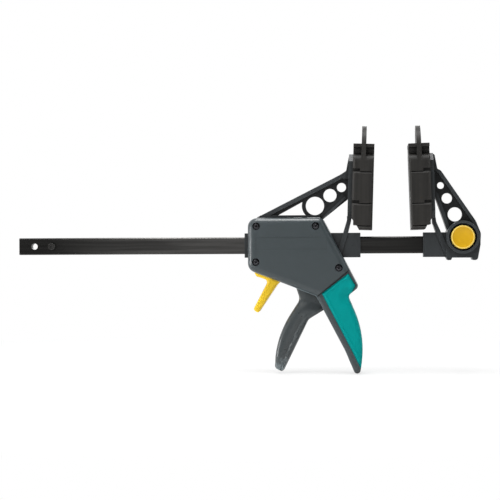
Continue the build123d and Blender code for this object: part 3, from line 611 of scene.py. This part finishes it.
housing_plastic = moulded("housing_plastic", HOUSING_GREY, 0.30, 2600.0, 0.10, shine=0.5)
jaw_plastic = moulded(
    "jaw_plastic", JAW_GREY, 0.34, 2200.0, 0.14, 2.1, shade=0.12, reach=8.0, shine=0.4, web=3.4 * MM
)
trigger_plastic = moulded(
    "trigger_plastic", TRIGGER_GREY, 0.28, 2600.0, 0.08, 1.5, shine=0.5, tip=TIP_HEIGHTS
)
# The bead is housing grey painted paler, a painted highlight
lip_highlight_plastic = moulded("lip_highlight_plastic", toned(HOUSING_GREY, 2.6), 0.28, 2600.0, 0.20)
pad_rubber = moulded(
    "pad_rubber", PAD_BROWN, 0.50, 1500.0, 0.45, 2.9, (1.0, 1.0, 0.05), 0.20, 2.2, 0.25, streak_tone=1.5
)
grip_rubber = moulded("grip_rubber", TEAL, 0.50, 1900.0, 0.30, 1.25, shade=0.5, reach=2.0, shine=0.06)
# Where the button's rim gets its painted highlight
button_rim = (fixed(BUTTON_CENTRE[0], 0, BUTTON_CENTRE[1]), 7.0 * MM, 7.35 * MM)
yellow_plastic = moulded(
    "yellow_plastic", YELLOW, 0.32, 2600.0, 0.06, 1.2, shade=0.6, reach=2.0, rim=button_rim
)
lever_plastic = moulded("lever_plastic", LEVER_YELLOW, 0.32, 2600.0, 0.06, 1.1, shade=0.6, reach=2.0)
# The bar gets a painted sheen along a stretch and painted highlights on its chamfers
bar_steel = steel(
    "bar_steel", BAR_STEEL, 0.34, (8.0, 700.0, 700.0), 0.14, 2.6, painted_sheen=(BAR_SHEEN, BAR_SHEEN_TONE)
)
# Screws: strong painted highlight on edges standing for glints, and painted shade in the star socket
screw_steel = steel("screw_steel", SCREW_BLACK, 0.26, (900.0, 900.0, 900.0), 0.20, 9.0, shade=0.1)
dark_pin_steel = steel("dark_pin_steel", toned(BAR_STEEL, 2.4), 0.30, (900.0, 900.0, 900.0), 0.15, 4.0)
pin_steel = steel("pin_steel", BARE_STEEL, 0.26, (1500.0, 300.0, 1500.0), 0.15)
plate_steel = steel("plate_steel", toned(BARE_STEEL, 0.7), 0.38, (300.0, 1200.0, 1200.0), 0.25)
spring_steel = steel("spring_steel", toned(BARE_STEEL, 0.8), 0.30, (400.0, 400.0, 400.0), 0.15)

finishes = {
    housing_plastic: ("housing_front_cover", "housing_back_cover"),
    jaw_plastic: ("moving_jaw_frame", "fixed_jaw_frame", "boss_back_cap"),
    trigger_plastic: ("trigger",),
    pad_rubber: ("moving_pad", "fixed_pad"),
    grip_rubber: ("grip_insert_front", "grip_insert_back"),
    yellow_plastic: ("release_button", "release_lever"),
    bar_steel: ("bar",),
    screw_steel: ("housing_screws",),
    dark_pin_steel: ("bar_stop_pin",),
    pin_steel: ("lock_stem", "lock_pin", "trigger_pivot_pin", "release_pivot_pin"),
    plate_steel: ("drive_plates", "brake_plates", "lock_yoke"),
    spring_steel: ("drive_spring", "brake_spring", "button_spring"),
}
for made, names in finishes.items():
    for name in names:
        dress(name, made)


# Pieces that stand for CAD nodes, and two beads of trim

HANDLE_CORNERS = (
    (-22.5, -5.5, 0),
    (-10.3, -29.0, 2.6),
    (-18.0, -35.2, 3.5),
    (-5.7, -64.0, 68),
    (-10.6, -95.0, 2.4),
    (-19.6, -73.0, 70),
    (-42.3, -29.9, 0),
    (-48.0, -27.0, 0),
)
GRIP_CORNERS = (
    (-17.4, -19.3, 0),
    (-12.2, -27.9, 1.5),
    (-14.9, -33.3, 0),
    (0.0, -33.3, 0),
    (0.0, -85.4, 0),
    (-9.1, -85.4, 0),
    (-15.2, -73.0, 0),
    (-35.9, -33.3, 0),
)
THUMB_DISH = (-16.8, -36.0)  # middle of the hollow at the throat of the handle
THUMB_DISH_DEPTH = 1.1
THUMB_DISH_REACH = (2.0, 8.5)  # from its middle, where it is full and ends
THUMB_DISH_EDGE = 2.5  # it fades out towards the handle's edge within this
GRIP_CROWN = 0.55  # middle of the grip above the handle
GRIP_ROLL = 3.0
GRIP_BORDER_DROP = 0.85
GRIP_BORDER_WIDTH = 1.5
GRIP_RIDGE_HEIGHT = 0.28
GRIP_RIDGE_PLACE = 1.9  # from the grip's edge
GRIP_RIDGE_WIDTH = 0.55


def make_grips():
    """Soft grips with a raised crown, rolled edges and a hollow at the throat."""
    handle = outline(HANDLE_CORNERS)
    region = outline(GRIP_CORNERS)

    def front(points):
        palm = distance(points, handle)
        border = distance(points, region)
        depth = HANDLE_HALF_DEPTH + GRIP_CROWN - rolled(palm, GRIP_ROLL)
        depth = depth - GRIP_BORDER_DROP * (1 - smooth(border, 0.0, GRIP_BORDER_WIDTH))
        ridge = GRIP_RIDGE_HEIGHT * np.exp(-((border - GRIP_RIDGE_PLACE) / GRIP_RIDGE_WIDTH) ** 2)
        hollow = 1 - smooth(np.linalg.norm(points - THUMB_DISH, axis=1), *THUMB_DISH_REACH)
        return depth + ridge - THUMB_DISH_DEPTH * hollow * smooth(palm, 0.0, THUMB_DISH_EDGE)

    def back(points):
        palm = distance(points, handle)
        return np.where(palm < GRIP_THICKNESS + 0.01, 0.0, HANDLE_HALF_DEPTH - GRIP_THICKNESS)

    depths = (0.12, 0.35, 0.7, 1.1, 1.5, GRIP_THICKNESS, GRIP_THICKNESS + 0.06, 2.3, 2.9)
    vertices, polygons = relief((handle, region), front, back, depths, 1.1)
    build(
        "soft_grip_front", vertices, polygons, grip_rubber, "moving_jaw",
        ("grip_insert_front",),
    )
    other = [(x, -y, z) for x, y, z in vertices]
    build(
        "soft_grip_back", other, polygons, grip_rubber, "moving_jaw",
        ("grip_insert_back",),
    )


TRIGGER_CORNERS = (
    (-46.0, -24.0, 0),
    (-54.5, -27.4, 2.2),
    (-51.2, -37.6, 6),
    (-67.7, -62.9, 70),
    (-69.1, -85.2, 2.4),
    (-63.4, -88.5, 2.4),
    (-45.4, -51.6, 6),
    (-31.2, -42.8, 4),
    (-33.0, -24.0, 0),
)
FINGER_LINE = (  # along the trigger's front edge, where the finger roll lies
    (-54.5, -27.4), (-51.6, -37.6), (-56.5, -45.5), (-62.6, -55.0), (-66.6, -63.5), (-69.0, -74.0),
    (-69.0, -84.0),
)
TRIGGER_REAR_LINE = ((-31.4, -42.8), (-45.4, -51.2), (-63.6, -88.4))  # along its back edge
TRIGGER_ROLL = 1.7
FINGER_ROLL = 2.3
FINGER_SHARE = 0.46  # share of the trigger's width that the finger roll takes
GUTTER_DEPTH = 0.9
GUTTER_SHARES = (0.72, 0.80)  # where the gutter is deepest and where it ends
REAR_ROLL = 1.2
REAR_START = 0.82  # where the back edge's roll starts, and its width, as shares
REAR_WIDTH = 0.18
NECK_HEIGHTS = (-52.0, -46.0)  # gutter and back roll fade out between them
TIP_BEVEL = 3.0
TIP_DROPS = (77.0, 84.5)  # below the bar's centreline
CREASE_DEPTH = 0.5  # step along a bent line under the hub
CREASE_DROP = 41.5
CREASE_MIDDLE = 47.0
CREASE_BEND = 0.028
CREASE_WIDTH = 3.0
CREASE_EDGE = (0.2, 2.4)  # from the trigger's outline, where the step starts and is full


def make_trigger():
    """Trigger with a broad finger roll, a ridge along its back edge and a bevelled tip."""
    loop = outline(TRIGGER_CORNERS)
    finger = np.array(FINGER_LINE)
    rear = np.array(TRIGGER_REAR_LINE)

    def depth_at(points):
        edge = distance(points, loop)
        left = distance(points, finger, closed=False)
        right = distance(points, rear, closed=False)
        share = left / (left + right + 1e-6)
        deepest, gutter_end = GUTTER_SHARES
        depth = TRIGGER_HALF_WIDTH - rolled(edge, TRIGGER_ROLL)
        depth = depth - FINGER_ROLL * np.clip(1 - share / FINGER_SHARE, 0, 1) ** 2
        below_neck = 1 - smooth(points[:, 1], *NECK_HEIGHTS)
        gutter = GUTTER_DEPTH * smooth(share, FINGER_SHARE, deepest)
        depth = depth - gutter * (1 - smooth(share, deepest, gutter_end)) * below_neck
        depth = depth - REAR_ROLL * np.clip((share - REAR_START) / REAR_WIDTH, 0, 1) ** 2 * below_neck
        depth = depth - TIP_BEVEL * smooth(-points[:, 1], *TIP_DROPS)
        crease = points[:, 1] + CREASE_DROP + CREASE_BEND * (points[:, 0] + CREASE_MIDDLE) ** 2
        step = CREASE_DEPTH * smooth(crease, -CREASE_WIDTH, CREASE_WIDTH)
        depth = depth - step * smooth(edge, *CREASE_EDGE)
        return np.maximum(depth, THINNEST_HALF)

    depths = (0.08, 0.25, 0.5, 0.85, 1.3, 1.8, 2.5)
    shape = relief((loop,), depth_at, lambda points: -depth_at(points), depths, 0.9)
    pivot_x, pivot_z = TRIGGER_PIVOT
    half = TRIGGER_HALF_WIDTH
    hub = rod(TRIGGER_PIVOT, TRIGGER_HUB_RADIUS, -half, half)
    arm = beam(pivot_x - TRIGGER_NOSE_RADIUS, pivot_x + TRIGGER_NOSE_RADIUS, half, pivot_z, TRIGGER_NOSE_Z)
    nose = rod((pivot_x, TRIGGER_NOSE_Z), TRIGGER_NOSE_RADIUS, -half, half)
    bore = rod(TRIGGER_PIVOT, TRIGGER_BORE_RADIUS, -half - 1, half + 1)
    vertices, polygons = joined(shape, (hub, arm, nose), (bore,))
    build("squeeze_trigger", vertices, polygons, trigger_plastic, "trigger", ("trigger",))


LEVER_CORNERS = (
    (-14.6, -0.4, 0.8),
    (-13.1, -3.6, 1.4),
    (-4.7, -6.4, 2.4),
    (-15.4, -26.8, 1.6),
    (-11.7, -29.2, 1.6),
    (1.5, -9.5, 4.0),
    (5.0, -6.2, 1.0),
    (2.6, 0.5, 0),
    (-2.6, 0.8, 0),
)
THUMB_LINE = ((-14.0, -4.0), (-5.4, -6.6), (-15.6, -27.0))  # from the lever's pivot
LEVER_ROLL = 1.5
THUMB_ROLL = 1.3
THUMB_ROLL_WIDTH = 3.4


def make_lever():
    """Release lever with a broad roll along its thumb side."""
    pivot_x, pivot_z = LEVER_PIVOT
    loop = outline([(pivot_x + x, pivot_z + z, radius) for x, z, radius in LEVER_CORNERS], 0.25, 1.2)
    thumb = np.array(THUMB_LINE) + LEVER_PIVOT

    def depth_at(points):
        edge = distance(points, loop)
        left = distance(points, thumb, closed=False)
        depth = LEVER_HALF_WIDTH - rolled(edge, LEVER_ROLL)
        depth = depth - THUMB_ROLL * np.clip(1 - left / THUMB_ROLL_WIDTH, 0, 1) ** 2
        return np.maximum(depth, THINNEST_HALF)

    depths = (0.08, 0.25, 0.5, 0.9, 1.4)
    shape = relief((loop,), depth_at, lambda points: -depth_at(points), depths, 0.8)
    half = LEVER_HALF_WIDTH
    nose_z = pivot_z + LEVER_ARM
    hub = rod(LEVER_PIVOT, LEVER_HUB_RADIUS, -half, half)
    arm = beam(pivot_x - LEVER_ARM_HALF, pivot_x + LEVER_ARM_HALF, half, pivot_z, nose_z)
    nose = rod((pivot_x, nose_z), LEVER_NOSE_RADIUS, -half, half, 32)
    bore = rod(LEVER_PIVOT, LEVER_BORE_RADIUS, -half - 1, half + 1, 32)
    vertices, polygons = joined(shape, (hub, arm, nose), (bore,))
    build(
        "thumb_lever", vertices, polygons, lever_plastic, "release_lever",
        ("release_lever",),
    )


BUTTON_PROFILE = (  # radius and depth behind the front, from the dish round the rim to the underside
    (1.0, BUTTON_DISH), (6.6, BUTTON_DISH), (6.95, 0.20), (7.2, 0.04), (7.5, 0.0), (7.8, 0.09), (8.02, 0.3),
    (8.16, 0.62), (BUTTON_RADIUS, 1.1), (BUTTON_RADIUS, BUTTON_DEPTH), (BUTTON_HOLLOW, BUTTON_DEPTH),
    (BUTTON_HOLLOW, BUTTON_THICKNESS), (1.0, BUTTON_THICKNESS),
)


def make_button():
    """Push button with a flat dish, a rounded rim, a skirt and a blind socket for the stem."""
    around = 72
    centre_x, centre_z = BUTTON_CENTRE
    vertices = []
    for radius, deep in BUTTON_PROFILE:
        for number in range(around):
            angle = 2 * math.pi * number / around
            x = centre_x + radius * math.cos(angle)
            vertices.append((x, BUTTON_FRONT + deep, centre_z + radius * math.sin(angle)))
    under = BUTTON_FRONT + BUTTON_THICKNESS
    socket = rod((centre_x, STEM_RISE), STEM_RADIUS + SEAT_CLEARANCE, under - STEM_SOCKET, under + 1)
    vertices, polygons = joined((vertices, skin(len(BUTTON_PROFILE), around)), (), (socket,))
    build(
        "push_button", vertices, polygons, yellow_plastic, "lock_button",
        ("release_button",), place=fixed, flat_angle=50.0,
    )


SOCKET_RINGS = (  # share of the star's radius, and depth under the head's top
    (0.15, 1.15), (0.55, 1.15), (0.93, 1.10), (1.0, 0.08), (1.06, 0.0),
)
HEAD_RINGS = (  # radius, and depth under the head's top
    (1.48, 0.0), (1.62, 0.10), (1.70, 0.42), (2.15, 0.46), (2.42, 0.58), (SCREW_HEAD_RADIUS, 0.85),
    (SCREW_HEAD_RADIUS, SCREW_HEAD_HEIGHT), (SCREW_RADIUS, SCREW_HEAD_HEIGHT),
)


def make_screws():
    """Pan-head screws with a star socket, as one piece."""
    around = 96
    angles = np.linspace(0, 2 * math.pi, around, endpoint=False)
    star = STAR_RADIUS + STAR_WAVE * np.cos(STAR_POINTS * angles)
    front = HOUSING_HALF_DEPTH - SCREW_HEAD_SUNK
    rings = [(star * share, np.full(around, front - depth)) for share, depth in SOCKET_RINGS]
    rings += [(np.full(around, radius), np.full(around, front - depth)) for radius, depth in HEAD_RINGS]
    rings.append((np.full(around, SCREW_RADIUS), np.full(around, -SCREW_END + SCREW_TIP)))
    rings.append((np.full(around, SCREW_RADIUS - SCREW_TIP), np.full(around, -SCREW_END)))
    vertices = []
    polygons = []
    for turn, (x, z) in zip(SCREW_TURNS, SCREWS):
        polygons += skin(len(rings), around, len(vertices))
        for radius, depth in rings:
            for angle, far, deep in zip(angles, radius, depth):
                vertices.append((x + far * math.cos(angle + turn), -deep, z + far * math.sin(angle + turn)))
    build(
        "star_screws", vertices, polygons, screw_steel, "moving_jaw", ("housing_screws",),
        flat_angle=50.0,
    )


LIP_START = (-39.3, -35.1)  # where the housing's underside and the handle's front meet
UNDERSIDE_RUN = (47.6, -18.3)
LIP_ON_HOUSING = 20.0  # length along the underside
LIP_STEP = 0.8
LIP_INSET = 0.45  # bead's middle inside the outline
LIP_STOP = 0.2  # before the corner
LIP_TAPER = 6.0  # length over which each end thins out
LIP_END_SHARE = 0.15  # of its radius, at the very ends
HOUSING_EDGE_DROP = 2.25
HANDLE_TIP = (-10.4, -95.0)
HANDLE_LEAN = -0.42  # line up from the handle's tip that has the front edge on its left
LIP_HEIGHTS = (-88.0, -35.6)  # lowest and highest point on the handle


def make_lips():
    """Bead along the housing's underside and the front edge of the handle, on each side, in a paler grey that
    paints a highlight on it.
    """
    slope = np.array(UNDERSIDE_RUN) / math.hypot(*UNDERSIDE_RUN)
    normal = np.array((-slope[1], slope[0]))
    start = np.array(LIP_START) + normal * LIP_INSET
    path = [start - slope * back for back in np.arange(LIP_ON_HOUSING, LIP_STOP, -LIP_STEP)]
    handle = outline(HANDLE_CORNERS, longest=LIP_STEP)
    tip_x, tip_z = HANDLE_TIP
    lowest, highest = LIP_HEIGHTS
    edge = [
        point for point in handle
        if point[0] < HANDLE_LEAN * (point[1] - tip_z) + tip_x and lowest < point[1] < highest
    ]
    edge = sorted(edge, key=lambda point: -point[1])
    sunk = [HOUSING_HALF_DEPTH - HOUSING_EDGE_DROP] * len(path)
    for before, after in zip(edge, edge[1:]):
        way = (after - before) / np.linalg.norm(after - before)
        path.append(before + np.array((-way[1], way[0])) * LIP_INSET)
        sunk.append(HANDLE_HALF_DEPTH - HANDLE_EDGE_DROP)
    path = np.array(path)
    sunk = np.array(sunk)
    along = np.concatenate(([0.0], np.cumsum(np.linalg.norm(np.diff(path, axis=0), axis=1))))
    thick = LIP_RADIUS * np.clip(along / LIP_TAPER, LIP_END_SHARE, 1)
    thick = thick * np.clip((along[-1] - along) / LIP_TAPER, LIP_END_SHARE, 1)
    ways = np.gradient(path, axis=0)
    ways /= np.linalg.norm(ways, axis=1)[:, None]
    across = np.stack((-ways[:, 1], ways[:, 0]), axis=1)
    around = 10
    vertices = []
    for place, side, deep, radius in zip(path, across, sunk, thick):
        for number in range(around):
            angle = 2 * math.pi * number / around
            x, z = place + side * radius * math.cos(angle)
            vertices.append((x, -(deep + radius * math.sin(angle)), z))
    polygons = skin(len(path), around)
    build(
        "housing_lip_front", vertices, polygons, lip_highlight_plastic, "moving_jaw",
        flat_angle=70.0,
    )
    other = [(x, -y, z) for x, y, z in vertices]
    build(
        "housing_lip_back", other, polygons, lip_highlight_plastic, "moving_jaw",
        flat_angle=70.0,
    )


def coil(inner, wire, length, turns, steps=40, around=10):
    """Open spring of round wire, as points given by two places across it and one along it."""
    radius = inner + wire / 2
    pitch = (length - wire) / turns
    vertices = []
    for number in range(turns * steps + 1):
        turn = 2 * math.pi * number / steps
        height = wire / 2 + pitch * number / steps
        for side in range(around):
            angle = 2 * math.pi * side / around
            far = radius + wire / 2 * math.cos(angle)
            vertices.append((far * math.cos(turn), far * math.sin(turn), height + wire / 2 * math.sin(angle)))
    return vertices, skin(turns * steps + 1, around)


def make_springs():
    """Springs of round wire that stand for the rigid solids."""
    x, z = BUTTON_CENTRE[0], STEM_RISE
    vertices, polygons = coil(*BUTTON_COIL)
    placed = [(x + across, BUTTON_COIL_START - along, z + up) for across, up, along in vertices]
    piece = build(
        "button_coil", placed, polygons, spring_steel, "fixed_side", ("button_spring",),
        place=fixed, flat_angle=60.0,
    )
    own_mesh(piece)
    for name, sizes, start, node, joint, keep in (
        ("drive_coil", DRIVE_COIL, DRIVE_COIL_START, "drive_spring", "trigger_squeeze", DRIVE_COIL_KEEP),
        ("brake_coil", BRAKE_COIL, BRAKE_COIL_START, "brake_spring", "release_pull", BRAKE_COIL_KEEP),
    ):
        vertices, polygons = coil(*sizes)
        placed = [(start + along, side, -down) for down, side, along in vertices]
        piece = build(
            name, placed, polygons, spring_steel, "moving_jaw", (node,), flat_angle=60.0
        )
        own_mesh(piece)


make_grips()
make_button()
make_trigger()
make_lips()
make_lever()
make_screws()
make_springs()


# Floor, light and camera

FLOOR_HALF = 4.0
FLOOR_MIDDLE_X = -0.09
FLOOR_DROP = 0.5 * MM
FLOOR_TONES = ((0.78, 0.78, 0.78), (0.80, 0.80, 0.80))
FLOOR_RADII = (0.10, 0.42)  # where the floor's own white starts to grow and is full
FLOOR_LEAST_WHITE = 0.72
WORLD_DIRECTIONS = (-0.85, -0.10)  # Y of a direction that counts as front, and as side
WORLD_STRENGTHS = (0.03, 0.62)  # light from the front, and from the sides and behind
MIDDLE = (-0.09, 0.0, -0.04)
LAMPS = (  # name, place, aim, size and power
    ("key", (-0.32, -0.42, 0.30), (-0.13, 0.0, -0.02), 0.25, 0.48),
    ("strip", (-0.205, -0.50, 0.12), (-0.15, 0.0, -0.03), 0.16, 0.11),
    ("side", (-0.80, -0.50, 0.03), MIDDLE, 0.3, 0.5),
    ("low", (-0.50, -0.14, -0.08), (-0.10, 0.0, -0.06), 0.10, 0.65),
    ("top", (-0.12, -0.22, 1.10), MIDDLE, 0.6, 13.0),
    ("rear", (-0.30, 1.10, 0.60), MIDDLE, 0.8, 5.0),
)


def floor_material():
    """White floor that keeps a soft shadow near the object and is plain white further off."""
    made, tree, shader = material("floor_white")
    shader.inputs["Roughness"].default_value = 0.9
    shader.inputs["Specular IOR Level"].default_value = 0.1
    grain = noise(tree, place_in(tree), 300.0, 3.0)
    tone = blended(tree, ranged(tree, grain, 0.3, 0.7, 0.0, 1.0), *FLOOR_TONES)
    tree.links.new(tone, shader.inputs["Base Color"])
    glow = tree.nodes.new("ShaderNodeEmission")
    glow.inputs["Strength"].default_value = 1.0
    coordinates = tree.nodes.new("ShaderNodeTexCoord")
    length = tree.nodes.new("ShaderNodeVectorMath")
    length.operation = "LENGTH"
    tree.links.new(coordinates.outputs["Object"], length.inputs[0])
    far = ranged(tree, length.outputs["Value"], *FLOOR_RADII, FLOOR_LEAST_WHITE, 1.0)
    path = tree.nodes.new("ShaderNodeLightPath")
    mirrored = math_of(tree, "MAXIMUM", path.outputs["Is Glossy Ray"], path.outputs["Is Transmission Ray"])
    seen = math_of(tree, "MAXIMUM", path.outputs["Is Camera Ray"], mirrored)
    share = math_of(tree, "MULTIPLY", far, seen)
    mix = tree.nodes.new("ShaderNodeMixShader")
    tree.links.new(share, mix.inputs["Fac"])
    tree.links.new(shader.outputs["BSDF"], mix.inputs[1])
    tree.links.new(glow.outputs["Emission"], mix.inputs[2])
    tree.links.new(mix.outputs["Shader"], tree.nodes["Material Output"].inputs["Surface"])
    return made


def make_floor():
    """Floor just under the handle's and trigger's tips."""
    half = FLOOR_HALF
    mesh = bpy.data.meshes.new("floor")
    corners = [(-half, -half, 0.0), (half, -half, 0.0), (half, half, 0.0), (-half, half, 0.0)]
    mesh.from_pydata(corners, [], [(0, 1, 2, 3)])
    floor = bpy.data.objects.new("floor", mesh)
    floor.location = (FLOOR_MIDDLE_X, 0.0, cad_low.z - FLOOR_DROP)
    mesh.materials.append(floor_material())
    bpy.context.scene.collection.objects.link(floor)


def make_world():
    """White surroundings for what the camera sees, and a soft light that is weaker from the front."""
    world = bpy.data.worlds.new("studio")
    bpy.context.scene.world = world
    world.use_nodes = True
    tree = world.node_tree
    background = tree.nodes["Background"]
    background.inputs["Color"].default_value = (1.0, 1.0, 1.0, 1.0)
    directions = tree.nodes.new("ShaderNodeTexCoord")
    split = tree.nodes.new("ShaderNodeSeparateXYZ")
    tree.links.new(directions.outputs["Generated"], split.inputs["Vector"])
    lit = ranged(tree, split.outputs["Y"], *WORLD_DIRECTIONS, *WORLD_STRENGTHS)
    tree.links.new(lit, background.inputs["Strength"])
    seen = tree.nodes.new("ShaderNodeBackground")
    seen.inputs["Color"].default_value = (1.0, 1.0, 1.0, 1.0)
    seen.inputs["Strength"].default_value = 1.0
    path = tree.nodes.new("ShaderNodeLightPath")
    mix = tree.nodes.new("ShaderNodeMixShader")
    mirrored = math_of(tree, "MAXIMUM", path.outputs["Is Glossy Ray"], path.outputs["Is Transmission Ray"])
    around = ranged(tree, split.outputs["Y"], *WORLD_DIRECTIONS, 0.0, 1.0)
    shown = math_of(tree, "MULTIPLY", mirrored, around)
    tree.links.new(math_of(tree, "MAXIMUM", path.outputs["Is Camera Ray"], shown), mix.inputs["Fac"])
    tree.links.new(background.outputs["Background"], mix.inputs[1])
    tree.links.new(seen.outputs["Background"], mix.inputs[2])
    tree.links.new(mix.outputs["Shader"], tree.nodes["World Output"].inputs["Surface"])


def add_lamp(name, position, aim, size, power):
    """Square soft lamp that faces a point."""
    data = bpy.data.lights.new(name, "AREA")
    data.shape = "SQUARE"
    data.size = size
    data.energy = power
    lamp = bpy.data.objects.new(name, data)
    lamp.location = position
    way = Vector(aim) - Vector(position)
    lamp.rotation_euler = way.to_track_quat("-Z", "Y").to_euler()
    bpy.context.scene.collection.objects.link(lamp)


def make_lights():
    """Four lamps in front and on the left, a strong one above and one behind."""
    for lamp in LAMPS:
        add_lamp(*lamp)


def make_camera():
    """Level camera before the moving pad, turned a little to the left as in the photograph."""
    data = bpy.data.cameras.new("camera")
    data.sensor_width = SENSOR_WIDTH
    data.lens = SENSOR_WIDTH * FOCAL_PIXELS / IMAGE_SIZE
    camera = bpy.data.objects.new("camera", data)
    way = Vector(CAMERA_AIM) - Vector(CAMERA_PLACE)
    facing = way.to_track_quat("-Z", "Y").to_matrix().to_4x4()
    camera.matrix_world = Matrix.Translation(CAMERA_PLACE) @ facing @ Matrix.Rotation(CAMERA_ROLL, 4, "Z")
    bpy.context.scene.collection.objects.link(camera)
    bpy.context.scene.camera = camera


make_floor()
make_world()
make_lights()
make_camera()
bpy.context.scene.view_settings.view_transform = "Standard"
